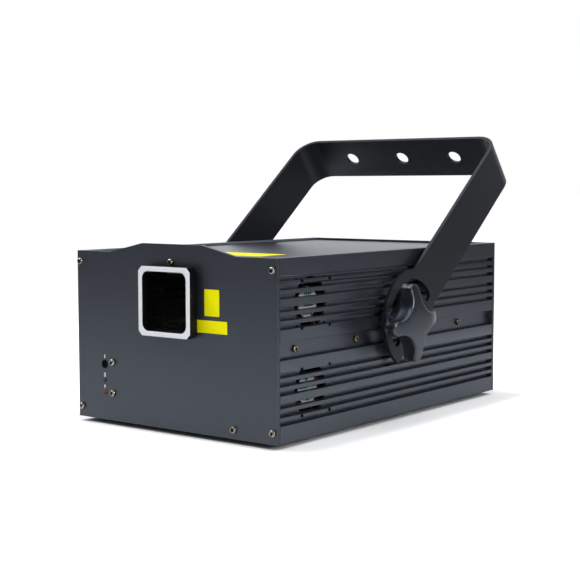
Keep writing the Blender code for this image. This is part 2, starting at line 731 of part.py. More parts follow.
def side_profile(projector, name, side):
    """One grooved side of the housing, bored for the fans, the arm's pivot and the clamp stud."""
    length = HOUSING_DEPTH - 2 * (END_PLATE + GAP)
    ports = [circle(place, PORT_RADIUS) for place in corner_screws() if place[0] * side > 0]
    profile = projector.add(f"{name}_side_profile", outline_mesh([side_section(side), *ports], length),
                            "black_anodised", moved(at(0, HOUSING_DEPTH / 2, 0), FACING_FRONT))
    vent = cylinder_mesh(FAN_VENT_RADIUS, -GAP, SIDE_WALL - GROOVE_DEPTH + GAP, 24)
    small = cylinder_mesh(SHANK_RADIUS + GAP, -SIDE_WALL, 2 * SIDE_WALL, SCREW_STEPS)
    bores = []
    for _, centre in fan_centres(side):
        bores.append((vent, moved((side * INNER_X, centre.y, centre.z), OUTWARD[side])))
        bores += [(small, moved((side * INNER_X, centre.y + dy, centre.z + dz), OUTWARD[side]))
                  for dy, dz in fan_corner_offsets()]
    for station in side_screw_stations():
        bores.append((small, moved(at(side * INNER_X, station, MID_HEIGHT), OUTWARD[side])))
    for from_front, radius in ((YOKE_PIVOT_FROM_FRONT, PIVOT_BOLT_RADIUS + GAP),
                               (STUD_FROM_FRONT, STUD_RADIUS + GAP)):
        bore = cylinder_mesh(radius, -SIDE_WALL, 2 * SIDE_WALL, 14)
        bores.append((bore, moved(at(side * INNER_X, from_front, YOKE_PIVOT_HEIGHT), OUTWARD[side])))
    projector.cut(profile, group_mesh(bores))


def covers(projector):
    """The top cover and the base plate, which slide into the side extrusions."""
    back = HOUSING_DEPTH - END_PLATE - GAP
    tab_front = END_PLATE + GAP
    underside = COVER_TOP - COVER_THICKNESS
    top = projector.add("top_cover", box_mesh(at(-COVER_HALF_WIDTH, tab_front, underside),
                                              at(COVER_HALF_WIDTH, back, COVER_TOP)), "top_sheet")
    screw_height = HOUSING_HEIGHT - TOP_TAB_SCREW_DROP
    projector.join(top, box_mesh(at(-TAB_WIDTH / 2, tab_front, underside - TAB_HEIGHT),
                                 at(TAB_WIDTH / 2, tab_front + TAB_THICKNESS, underside + COVER_THICKNESS / 2)))
    projector.cut(top, cylinder_mesh(PORT_RADIUS, -END_PLATE, END_PLATE, SCREW_STEPS),
                  moved(at(0, tab_front + TAB_THICKNESS / 2, screw_height), TOWARDS_REAR))
    base_top = BASE_RECESS + BASE_THICKNESS
    base = projector.add("base_plate", box_mesh(at(-COVER_HALF_WIDTH, tab_front, BASE_RECESS),
                                                at(COVER_HALF_WIDTH, back, base_top)), "black_steel")
    half = TAB_WIDTH / 2
    projector.join(base, box_mesh(at(BASE_TAB_X - half, tab_front, BASE_RECESS + BASE_THICKNESS / 2),
                                  at(BASE_TAB_X + half, tab_front + TAB_THICKNESS, base_top + TAB_HEIGHT)))
    projector.join(base, screw_mesh(), moved(at(BASE_TAB_X, -GAP, BASE_TAB_SCREW_HEIGHT), TOWARDS_FRONT))
    standoff = cylinder_mesh(STANDOFF_RADIUS, -BASE_THICKNESS / 2, STANDOFF_HEIGHT, 10)
    projector.join(base, repeated(standoff, [
        moved(at(x, from_front, base_top))
        for x, from_front in standoff_places(0, DRIVER_BOARD_FROM_FRONT, DRIVER_BOARD_SIZE)]))
    hole = cylinder_mesh(FOOT_STEM_RADIUS + GAP, -BASE_THICKNESS, 2 * BASE_THICKNESS, 16)
    projector.cut(base, repeated(hole, [moved(place + Vector((0, 0, BASE_RECESS)))
                                        for _, place in foot_places()]))


def foot_places():
    """Each foot's name and its place at the height of the housing's lower edge."""
    x = HALF_WIDTH - FOOT_SIDE_INSET
    return [(f"{end}_{name}_foot", at(side * x, from_front, 0)) for name, side in SIDES
            for end, from_front in (("front", FOOT_END_INSET), ("rear", HOUSING_DEPTH - FOOT_END_INSET))]


def feet(projector):
    """Four rubber feet, each pushed into the base plate by its barbed stem."""
    seat = BASE_RECESS - GAP
    barb = BASE_RECESS + BASE_THICKNESS + GAP
    foot = turned_mesh([(0, barb + FOOT_BARB_HEIGHT), (FOOT_BARB_TIP_RADIUS, barb + FOOT_BARB_HEIGHT),
                        (FOOT_BARB_RADIUS, barb), (FOOT_STEM_RADIUS, barb), (FOOT_STEM_RADIUS, seat),
                        (FOOT_RADIUS, seat), (FOOT_TREAD_RADIUS, -FOOT_SHOW), (0, -FOOT_SHOW)], 16)
    for name, place in foot_places():
        projector.add(name, foot.copy(), "rubber", moved(place))


def end_screws(projector):
    """The screws at the front plate's corners and the one that holds the top cover's tab."""
    screw = screw_mesh()
    levels = (("lower", CORNER_SCREW_HEIGHT), ("upper", HOUSING_HEIGHT - CORNER_SCREW_HEIGHT))
    places = [(f"front_{level}_{name}_screw", side * PORT_X, height) for name, side in SIDES
              for level, height in levels]
    places.append(("cover_screw", 0, HOUSING_HEIGHT - TOP_TAB_SCREW_DROP))
    for name, x, height in places:
        projector.add(name, screw.copy(), "bright_steel", moved(at(x, -GAP, height), TOWARDS_FRONT))


def window(projector):
    """The bezel that stands proud of the front, and the glass in its rear rebate."""
    width, tall = window_size()
    depth = BEZEL_PROUD - GAP
    bezel = projector.add("aperture_bezel", outline_mesh(
        [chamfered_rectangle((0, 0), BEZEL_WIDTH, BEZEL_TALL, BEZEL_CHAMFER),
         rounded_rectangle((0, 0), width, tall, BEZEL_CORNER_RADIUS)], depth), "silver_rim",
        moved(at(0, -GAP - depth / 2, WINDOW_HEIGHT), FACING_FRONT))
    rebate_w, rebate_t = width / 2 + GLASS_LAP + GAP, tall / 2 + GLASS_LAP + GAP
    rebate = GLASS_THICKNESS + 2 * GAP
    projector.cut(bezel, box_mesh(at(-rebate_w, -GAP - rebate + GAP, WINDOW_HEIGHT - rebate_t),
                                  at(rebate_w, END_PLATE, WINDOW_HEIGHT + rebate_t)))
    projector.add("aperture_glass", box_mesh(
        at(GAP - rebate_w, -GAP - GLASS_THICKNESS, WINDOW_HEIGHT - rebate_t + GAP),
        at(rebate_w - GAP, -GAP, WINDOW_HEIGHT + rebate_t - GAP)), "glass")


def indicators(projector):
    """The small board behind the front, with its microphone, two lamps and the posts it is screwed on by."""
    front = END_PLATE + INDICATOR_BOARD_SETBACK
    middle = (INDICATOR_SCREW_HEIGHTS[0] + INDICATOR_SCREW_HEIGHTS[1]) / 2
    x = (INDICATOR_X + INDICATOR_SCREW_X) / 2
    edge = rectangle((x, middle), INDICATOR_BOARD_WIDTH, INDICATOR_BOARD_TALL)
    board = projector.add("indicator_board", outline_mesh([edge], BOARD_THICKNESS), "board",
                          moved(at(0, front + BOARD_THICKNESS / 2, 0), FACING_FRONT))
    root = -BOARD_THICKNESS / 2
    fixed = [(cylinder_mesh(MICROPHONE_RADIUS, root, front - END_PLATE / 2, 14),
              moved(at(INDICATOR_X, front, MICROPHONE_HEIGHT), TOWARDS_FRONT))]
    shoulder = front - END_PLATE - GAP
    lens = turned_mesh([(0, front), (LED_TIP_RADIUS, front), (LED_RADIUS, front - LED_TIP_HEIGHT),
                        (LED_RADIUS, shoulder), (LED_FLANGE, shoulder), (LED_FLANGE, root), (0, root)], 10)
    fixed += [(lens, moved(at(INDICATOR_X, front, height), TOWARDS_FRONT)) for height in LED_HEIGHTS]
    post = cylinder_mesh(STANDOFF_RADIUS, root, shoulder, 10)
    fixed += [(post, moved(at(INDICATOR_SCREW_X, front, height), TOWARDS_FRONT))
              for height in INDICATOR_SCREW_HEIGHTS]
    projector.join(board, group_mesh(fixed))
    screw = screw_mesh(END_PLATE + 2 * GAP + STANDOFF_RADIUS)
    projector.join(board, repeated(screw, [moved(at(INDICATOR_SCREW_X, -GAP, height), TOWARDS_FRONT)
                                           for height in INDICATOR_SCREW_HEIGHTS]))


def yoke_silhouette():
    """The arm seen from the side: a straight bar that ends in a round head with an arc slot."""
    radius, front, rear = YOKE_HEAD_RADIUS, YOKE_FRONT_EDGE, YOKE_REAR_EDGE
    top = YOKE_LENGTH + YOKE_BEND_RADIUS
    fillet = YOKE_HEAD_FILLET
    fillet_z = math.sqrt((radius + fillet) ** 2 - (front + fillet) ** 2)
    fillet_centre = (-front - fillet, fillet_z)
    tangent = math.atan2(fillet_z, -front - fillet)
    tip = math.atan2(-math.sqrt(radius ** 2 - rear ** 2), rear)
    edge = [(rear, top)]
    edge += arc((0, 0), radius, tip, tangent - math.tau, 24)
    edge += arc(fillet_centre, fillet, tangent - math.pi, 0, 4)[1:]
    edge.append((-front, top))
    inner, outer = SLOT_TRACK_RADIUS - SLOT_HALF_WIDTH, SLOT_TRACK_RADIUS + SLOT_HALF_WIDTH
    start, end = SLOT_START, SLOT_END
    start_centre = (SLOT_TRACK_RADIUS * math.cos(start), SLOT_TRACK_RADIUS * math.sin(start))
    end_centre = (SLOT_TRACK_RADIUS * math.cos(end), SLOT_TRACK_RADIUS * math.sin(end))
    slot = arc((0, 0), outer, start, end, 24)
    slot += arc(end_centre, SLOT_HALF_WIDTH, end, end + math.pi, 6)[1:-1]
    slot += arc((0, 0), inner, end, start, 24)
    slot += arc(start_centre, SLOT_HALF_WIDTH, start + math.pi, start + math.tau, 6)[1:-1]
    return edge, slot


def yoke(projector):
    """A flat bar bent into a U, with the pivot at its origin, leaning back."""
    pivot = projector.axis("yoke_axis", at(0, YOKE_PIVOT_FROM_FRONT, YOKE_PIVOT_HEIGHT))
    outer_x, radius, wall = YOKE_OUTER_X, YOKE_BEND_RADIUS, YOKE_THICKNESS
    foot = -YOKE_HEAD_RADIUS - YOKE_THICKNESS
    bend = (outer_x - radius, YOKE_LENGTH - radius)
    half = [(outer_x, foot)] + arc(bend, radius, 0, math.pi / 2, 7)
    inner_half = arc(bend, radius - wall, math.pi / 2, 0, 7) + [(outer_x - wall, foot)]
    mirror = [(-x, z) for x, z in reversed(half)]
    mirror_inner = [(-x, z) for x, z in reversed(inner_half)]
    loop = half + mirror + mirror_inner + inner_half
    lean = Matrix.Rotation(-YOKE_LEAN, 4, "X")
    place = moved(pivot.location, lean)
    bar = projector.add("yoke_bracket", outline_mesh([loop], 2 * (YOKE_HEAD_RADIUS + YOKE_THICKNESS)),
                        "satin_black", place @ FACING_FRONT, pivot)
    edge, slot = yoke_silhouette()
    hole = circle((0, 0), PIVOT_BOLT_RADIUS + GAP, 14)
    side_view = outline_mesh([edge, slot, hole], 2 * outer_x + 2 * YOKE_THICKNESS)
    projector.keep(bar, side_view, place @ FACING_SIDE)
    middle = (YOKE_REAR_EDGE - YOKE_FRONT_EDGE) / 2
    drill = cylinder_mesh(YOKE_HOLE_RADIUS, YOKE_LENGTH - 2 * wall, YOKE_LENGTH + wall, 20)
    holes = [moved((offset * YOKE_HOLE_SPACING, middle, 0)) for offset in (-1, 0, 1)]
    projector.cut(bar, repeated(drill, holes), place)


def arm_hardware(projector):
    """The pivot bolts, and the spacers that hold the arms off the housing."""
    head = PIVOT_HEAD_HEIGHT
    reach = YOKE_OUTER_X + GAP - INNER_X + BEHIND_WALL
    bolt = turned_mesh([(0, head / 2), (PIVOT_SOCKET_RADIUS, head / 2), (PIVOT_SOCKET_RADIUS, head),
                        (PIVOT_HEAD_TOP_RADIUS, head), (PIVOT_HEAD_RADIUS, 0), (PIVOT_BOLT_RADIUS, 0),
                        (PIVOT_BOLT_RADIUS, -reach), (0, -reach)], 16)
    ends = ((STUD_FROM_FRONT, 1, STUD_RADIUS), (YOKE_PIVOT_FROM_FRONT, -1, PIVOT_BOLT_RADIUS))
    outline = []
    holes = []
    for from_front, turn, radius in ends:
        centre = (FRONT_Y + from_front, BASE_Z + YOKE_PIVOT_HEIGHT)
        first = turn * math.pi / 2
        outline += arc(centre, SPACER_RADIUS, first, first + math.pi, 10)
        holes.append(circle(centre, radius + GAP, 16))
    for name, side in SIDES:
        projector.add(f"{name}_pivot_bolt", bolt.copy(), "black_steel", moved(
            at(side * (YOKE_OUTER_X + GAP), YOKE_PIVOT_FROM_FRONT, YOKE_PIVOT_HEIGHT), OUTWARD[side]))
        projector.add(f"{name}_arm_spacer", outline_mesh([outline, *holes], YOKE_STANDOFF - 2 * GAP),
                      "black_plastic", moved((side * (HALF_WIDTH + YOKE_STANDOFF / 2), 0, 0), FACING_SIDE))


def knob_outline():
    """A star of blunt lobes with a round valley between each two."""
    step = math.tau / KNOB_LOBES
    distance = KNOB_VALLEY_RADIUS + KNOB_VALLEY_CURVE
    tip, curve, round_off = KNOB_TIP_RADIUS, KNOB_VALLEY_CURVE, KNOB_TIP_ROUND
    # The rounding circle touches the valley circle from outside and the tip circle from inside.
    reach = tip - round_off
    apart = curve + round_off
    swing = math.acos((reach ** 2 + distance ** 2 - apart ** 2) / (2 * reach * distance))
    points = []
    for lobe in range(KNOB_LOBES):
        middle = KNOB_TURN + lobe * step
        valley = middle + step / 2
        valley_centre = (distance * math.cos(valley), distance * math.sin(valley))
        for sign in (-1, 1):
            heading = middle + sign * (step / 2 - swing)
            centre = (reach * math.cos(heading), reach * math.sin(heading))
            hollow = middle + sign * step / 2
            hollow_centre = (distance * math.cos(hollow), distance * math.sin(hollow))
            inward = math.atan2(hollow_centre[1] - centre[1], hollow_centre[0] - centre[0])
            span = (inward - heading + math.pi) % math.tau - math.pi
            corner = arc(centre, round_off, heading, heading + span, 4)
            points += corner if sign > 0 else corner[::-1]
        first = math.atan2(points[-1][1] - valley_centre[1], points[-1][0] - valley_centre[0])
        centre_line = valley + math.pi
        half = (centre_line - first + math.pi) % math.tau - math.pi
        points += arc(valley_centre, curve, first, first + 2 * half, 8)[1:-1]
    return points


def clamp(projector, name, side):
    """A star knob moulded onto its threaded stud, with the washer under it."""
    centre = at(0, STUD_FROM_FRONT, YOKE_PIVOT_HEIGHT)
    axis = projector.axis(f"{name}_knob_axis", centre)
    along = moved(centre, OUTWARD[side])
    seat = YOKE_OUTER_X + GAP
    projector.add(f"{name}_clamp_washer",
                  ring_mesh(STUD_RADIUS + GAP, WASHER_RADIUS, seat, seat + WASHER_THICKNESS, 18),
                  "bright_steel", along, axis)
    turn = UPRIGHT if side > 0 else Matrix.Rotation(math.pi, 4, "Z")
    knob = projector.add(f"{name}_knob", domed_mesh([(side * y, z) for y, z in knob_outline()]), "black_plastic",
                         moved(centre + Vector((side * LOBE_START_X, 0, 0)), turn), axis)
    stud_end = INNER_X - BEHIND_WALL
    inside = LOBE_START_X + KNOB_LOBE_THICKNESS / 2
    projector.join(knob, turned_mesh([(0, inside), (KNOB_HUB_RADIUS, inside), (KNOB_HUB_RADIUS, HUB_START_X),
                                      (STUD_RADIUS, HUB_START_X), (STUD_RADIUS, stud_end), (0, stud_end)], 18),
                   along)


def fans(projector):
    """Two axial fans behind the right side's vents, their struts and labels facing out."""
    half = FAN_THICKNESS / 2
    body = outline_mesh([rounded_rectangle((0, 0), FAN_SIZE, FAN_SIZE, FAN_CORNER, 2),
                         circle((0, 0), FAN_BORE_RADIUS, 24),
                         *[circle(offset, SHANK_RADIUS + GAP) for offset in fan_corner_offsets()]],
                        FAN_THICKNESS)
    high = half - GAP
    low = high - FAN_STRUT_THICKNESS
    boss = cylinder_mesh(FAN_LABEL_RADIUS, low, high, 20)
    strut = box_mesh((-FAN_BORE_RADIUS - FAN_STRUT_WIDTH / 2, -FAN_STRUT_WIDTH / 2, low + GAP / 2),
                     (FAN_BORE_RADIUS + FAN_STRUT_WIDTH / 2, FAN_STRUT_WIDTH / 2, high - GAP / 2))
    hub_low, hub_high = -half + GAP, low - GAP
    hub = cylinder_mesh(FAN_HUB_RADIUS, hub_low, hub_high, 16)
    blade = box_mesh((FAN_BLADE_ROOT, -FAN_BLADE_CHORD / 2, -FAN_BLADE_THICKNESS / 2),
                     (FAN_BLADE_TIP, FAN_BLADE_CHORD / 2, FAN_BLADE_THICKNESS / 2))
    level, twist = (hub_low + hub_high) / 2, Matrix.Rotation(FAN_BLADE_TWIST, 4, "X")
    blades = repeated(blade, [moved((0, 0, level), Matrix.Rotation(math.tau * i / FAN_BLADES, 4, "Z") @ twist)
                              for i in range(FAN_BLADES)])
    for name, centre in fan_centres(1):
        place = moved(centre, OUTWARD[1])
        frame = projector.add(f"{name}_fan_frame", body.copy(), "black_plastic", moved(centre, FACING_SIDE))
        for angle in FAN_STRUT_ANGLES:
            projector.join(frame, strut, place @ Matrix.Rotation(angle, 4, "Z"))
        projector.join(frame, boss, place)
        rotor = projector.add(f"{name}_fan_rotor", hub.copy(), "black_plastic", place)
        projector.join(rotor, blades, place)


def deck(projector):
    """Angle rails screwed to the side walls, and the aluminium plate that rests on them."""
    wall_x = INNER_X - GAP
    back = RAIL_FROM_FRONT + RAIL_LENGTH
    section = [(wall_x - RAIL_SHELF, RAIL_BOTTOM), (wall_x, RAIL_BOTTOM), (wall_x, RAIL_TOP),
               (wall_x - RAIL_THICKNESS, RAIL_TOP),
               (wall_x - RAIL_THICKNESS, RAIL_BOTTOM + RAIL_THICKNESS),
               (wall_x - RAIL_SHELF, RAIL_BOTTOM + RAIL_THICKNESS)]
    seat = HALF_WIDTH - CHANNEL_DEPTH + GAP
    screw = screw_mesh(SIDE_SCREW_LENGTH)
    for name, side in SIDES:
        outline = [(side * x, z) for x, z in section]
        rail = projector.add(f"{name}_deck_rail", outline_mesh([outline], RAIL_LENGTH), "aluminium",
                             moved(at(0, (RAIL_FROM_FRONT + back) / 2, 0), FACING_FRONT))
        projector.join(rail, repeated(screw, [moved(at(side * seat, station, MID_HEIGHT), OUTWARD[side])
                                              for station in side_screw_stations()]))
    half = INNER_X - DECK_EDGE_CLEARANCE
    projector.add("optics_deck", box_mesh(at(-half, RAIL_FROM_FRONT, DECK_BOTTOM),
                                          at(half, RAIL_FROM_FRONT + DECK_LENGTH, DECK_TOP)), "aluminium")


def scanner(projector):
    """The block with two galvanometer motors, and the mirror that each one turns."""
    high = WINDOW_HEIGHT
    low = high - MIRROR_SPACING
    depth = BEAM_FROM_FRONT
    shaft_x = MIRROR_Y_LENGTH / 2 + GALVO_CLAMP_LENGTH + GAP
    shaft_y = MIRROR_X_LENGTH / 2 + GALVO_CLAMP_LENGTH + GAP
    wall = GALVO_RADIUS + GAP + SCANNER_WALL
    floor = DECK_TOP + GAP
    rear_face = depth + shaft_y + GAP
    side_face = shaft_x + GAP
    block = projector.add("scanner_block", box_mesh(
        at(-wall, depth - wall, floor), at(side_face + SCANNER_GRIP, rear_face + SCANNER_GRIP,
                                           floor + SCANNER_FOOT)), "black_steel")
    projector.join(block, box_mesh(at(-wall + GAP, rear_face, floor + GAP),
                                   at(wall, rear_face + SCANNER_GRIP - GAP, low + wall)))
    projector.join(block, box_mesh(at(side_face, depth - wall + GAP, floor + GAP),
                                   at(side_face + SCANNER_GRIP - GAP, depth + wall, high + wall)))
    bore = cylinder_mesh(GALVO_RADIUS + GAP, -SCANNER_GRIP, 2 * SCANNER_GRIP, 20)
    projector.cut(block, bore, moved(at(0, rear_face, low), TOWARDS_REAR))
    projector.cut(block, bore, moved(at(side_face, depth, high), TOWARDS_RIGHT))
    motor = ring_mesh(GALVO_SHAFT_RADIUS + GAP, GALVO_RADIUS, 0, GALVO_LENGTH, 20)
    stack = (("x", low, TOWARDS_REAR, MIRROR_X_LENGTH, MIRROR_X_WIDTH, at(0, rear_face, low)),
             ("y", high, TOWARDS_RIGHT, MIRROR_Y_LENGTH, MIRROR_Y_WIDTH, at(side_face, depth, high)))
    for name, height, turn, length, width, motor_place in stack:
        projector.add(f"galvo_{name}_motor", motor.copy(), "aluminium", moved(motor_place, turn))
        centre = at(0, depth, height)
        axis = projector.axis(f"galvo_{name}_axis", centre)
        start = length / 2 - GAP
        end = start + GALVO_CLAMP_LENGTH
        rotor = projector.add(f"galvo_{name}_mirror", turned_mesh(
            [(0, end + GALVO_SHAFT_IN_MOTOR), (GALVO_SHAFT_RADIUS, end + GALVO_SHAFT_IN_MOTOR),
             (GALVO_SHAFT_RADIUS, end), (GALVO_CLAMP_RADIUS, end), (GALVO_CLAMP_RADIUS, start),
             (0, start)], 12), "mirror", moved(centre, turn), axis)
        pane = box_mesh((-width / 2, -MIRROR_THICKNESS / 2, -length / 2),
                        (width / 2, MIRROR_THICKNESS / 2, length / 2))
        projector.join(rotor, pane, moved(centre, turn @ Matrix.Rotation(MIRROR_TURN, 4, "Z")))


def lasers(projector):
    """Three laser modules, and the bar of small mirrors that leads their beams to the scanner."""
    floor = DECK_TOP + GAP
    beam = WINDOW_HEIGHT - MIRROR_SPACING
    half_l, half_w = LASER_LENGTH / 2, LASER_WIDTH / 2
    muzzle = cylinder_mesh(LASER_MUZZLE_RADIUS, -LASER_MUZZLE_RADIUS, LASER_MUZZLE_LENGTH, 14)
    modules = [(name, at(LASER_SIDE_X, from_front, 0), half_l, half_w,
                moved(at(LASER_SIDE_X - half_l, from_front, beam), TOWARDS_LEFT))
               for name, from_front in zip(("red", "green"), LASER_SIDE_FROM_FRONT)]
    modules.append(("blue", at(COMBINER_X, LASER_REAR_FROM_FRONT, 0), half_w, half_l,
                    moved(at(COMBINER_X, LASER_REAR_FROM_FRONT - half_l, beam), TOWARDS_FRONT)))
    for name, place, half_x, half_y, nose in modules:
        low = place + Vector((-half_x, -half_y, floor))
        high = place + Vector((half_x, half_y, floor + LASER_TALL))
        module = projector.add(f"{name}_laser", box_mesh(low, high), "aluminium")
        projector.join(module, muzzle, nose)
    half = COMBINER_SIZE / 2
    stations = (*LASER_SIDE_FROM_FRONT, BEAM_FROM_FRONT)
    combiner = projector.add("beam_combiner", box_mesh(
        at(COMBINER_X - half, min(stations) - half, floor),
        at(COMBINER_X + half, max(stations) + half, floor + SCANNER_FOOT)), "mirror")
    edge = half - GAP
    post = box_mesh((-edge, -edge, floor + SCANNER_FOOT / 2), (edge, edge, beam - half))
    pane = box_mesh((-COMBINER_PANE_HALF, -COMBINER_THICKNESS / 2, beam - half - COMBINER_THICKNESS),
                    (COMBINER_PANE_HALF, COMBINER_THICKNESS / 2, beam + COMBINER_PANE_HALF))
    turns = (-MIRROR_TURN, -MIRROR_TURN, MIRROR_TURN)
    places = [moved(at(COMBINER_X, from_front, 0)) for from_front in stations]
    projector.join(combiner, repeated(post, places))
    projector.join(combiner, repeated(pane, [place @ Matrix.Rotation(turn, 4, "Z")
                                             for place, turn in zip(places, turns)]))


def electronics(projector):
    """The power supply and the driver board on the base plate, and the main board behind the rear plate."""
    floor = BASE_RECESS + BASE_THICKNESS + GAP
    low_y = SUPPLY_FROM_FRONT - SUPPLY_LENGTH / 2
    high_y = SUPPLY_FROM_FRONT + SUPPLY_LENGTH / 2
    half = SUPPLY_WIDTH / 2
    case = box_mesh(at(SUPPLY_X - half, low_y, floor), at(SUPPLY_X + half, high_y, floor + SUPPLY_TALL))
    supply = projector.add("power_supply", case, "aluminium")
    inner = half - BASE_THICKNESS
    step, rise = SUPPLY_TERMINAL_DEPTH, SUPPLY_TERMINAL_HEIGHT
    projector.cut(supply, box_mesh(at(SUPPLY_X - inner, high_y - step, floor + rise),
                                   at(SUPPLY_X + inner, high_y + step, floor + 2 * SUPPLY_TALL)))
    half = BOARD_THICKNESS / 2
    width, length = DRIVER_BOARD_SIZE
    level = BASE_RECESS + BASE_THICKNESS + STANDOFF_HEIGHT + GAP + half
    driver = projector.add("driver_board", outline_mesh([rectangle((0, 0), width, length)], BOARD_THICKNESS),
                           "board", moved(at(0, DRIVER_BOARD_FROM_FRONT, level)))
    chips = [box_mesh((-wide / 2, place - deep / 2, 0), (wide / 2, place + deep / 2, tall))
             for (wide, deep, tall), place in ((HEAT_SINK_SIZE, HEAT_SINK_PLACE), (CHIP_SIZE, CHIP_PLACE))]
    projector.join(driver, group_mesh([(chip, moved(at(0, DRIVER_BOARD_FROM_FRONT, level))) for chip in chips]))
    width, tall = MAIN_BOARD_SIZE
    inner_face = HOUSING_DEPTH - END_PLATE
    face = inner_face - MAIN_BOARD_SETBACK
    board = projector.add("main_board", outline_mesh([rectangle((0, 0), width, tall)], BOARD_THICKNESS), "board",
                          moved(at(MAIN_BOARD_X, face - half, MAIN_BOARD_HEIGHT), FACING_FRONT))
    switch_top = button_foot() - BUTTON_TRAVEL - GAP - face
    switch = box_mesh((-BUTTON_RADIUS, -half, -BUTTON_RADIUS), (BUTTON_RADIUS, switch_top, BUTTON_RADIUS))
    fixed = [(switch, moved(at(x, face, BUTTON_HEIGHT))) for x in button_places()]
    width_d, tall_d = DISPLAY_SIZE
    fixed.append((box_mesh((-width_d / 2, -half, -tall_d / 2),
                           (width_d / 2, HOUSING_DEPTH - GAP - face, tall_d / 2)),
                  moved(at(DISPLAY_X, face, DISPLAY_HEIGHT))))
    post = cylinder_mesh(STANDOFF_RADIUS, -half, MAIN_BOARD_SETBACK - GAP, 10)
    for sx in (-1, 1):
        for sz in (-1, 1):
            corner = (MAIN_BOARD_X + sx * (width / 2 - BOARD_EDGE), face,
                      MAIN_BOARD_HEIGHT + sz * (tall / 2 - BOARD_EDGE))
            fixed.append((post, moved(at(*corner), TOWARDS_REAR)))
    projector.join(board, group_mesh(fixed))


def button_foot():
    """How far from the front a menu button's inner end lies."""
    return HOUSING_DEPTH - END_PLATE - GAP - BUTTON_COLLAR_LENGTH


def rear_plate(projector):
    """The flat rear with a cut-out for each socket and control, the vent slots and its captive screws."""
    edge = rectangle((0, HOUSING_HEIGHT / 2), HOUSING_WIDTH, HOUSING_HEIGHT)
    holes = [rectangle((INLET_X, INLET_HEIGHT), INLET_BODY[0] + 2 * GAP, INLET_BODY[1] + 2 * GAP),
             rectangle((SWITCH_X, SWITCH_HEIGHT), SWITCH_BODY[0] + 2 * GAP, SWITCH_BODY[1] + 2 * GAP),
             circle((KEY_X, KEY_HEIGHT), KEY_BODY_RADIUS + GAP, 20),
             rectangle((CONTROL_PORT_X, CONTROL_PORT_HEIGHT), CONTROL_PORT_BODY[0] + 2 * GAP,
                       CONTROL_PORT_BODY[1] + 2 * GAP),
             rectangle((DISPLAY_X, DISPLAY_HEIGHT), DISPLAY_SIZE[0] + 2 * GAP, DISPLAY_SIZE[1] + 2 * GAP),
             circle((EYE_X, EYE_HEIGHT), EYE_SHANK_RADIUS + GAP, 14)]
    holes += [circle((x, DMX_HEIGHT), DMX_BODY_RADIUS + GAP, 22) for x in (DMX_IN_X, DMX_OUT_X)]
    holes += [circle((x, BUTTON_HEIGHT), BUTTON_RADIUS + GAP, 12) for x in button_places()]
    middle = (VENT_COUNT - 1) / 2
    for i in range(VENT_COUNT):
        centre = (VENT_CENTRE_X + (i - middle) * VENT_SPACING, VENT_HEIGHT)
        holes.append(rounded_rectangle(centre, VENT_WIDTH, VENT_TALL, VENT_CORNER, 2))
    plate = projector.add("rear_plate", outline_mesh([edge, *holes], END_PLATE), "powder_coat",
                          moved(at(0, HOUSING_DEPTH - END_PLATE / 2, 0), FACING_FRONT))
    projector.join(plate, repeated(screw_mesh(), [moved(at(x, REAR_FACE, height), TOWARDS_REAR)
                                                  for x, height in corner_screws()]))


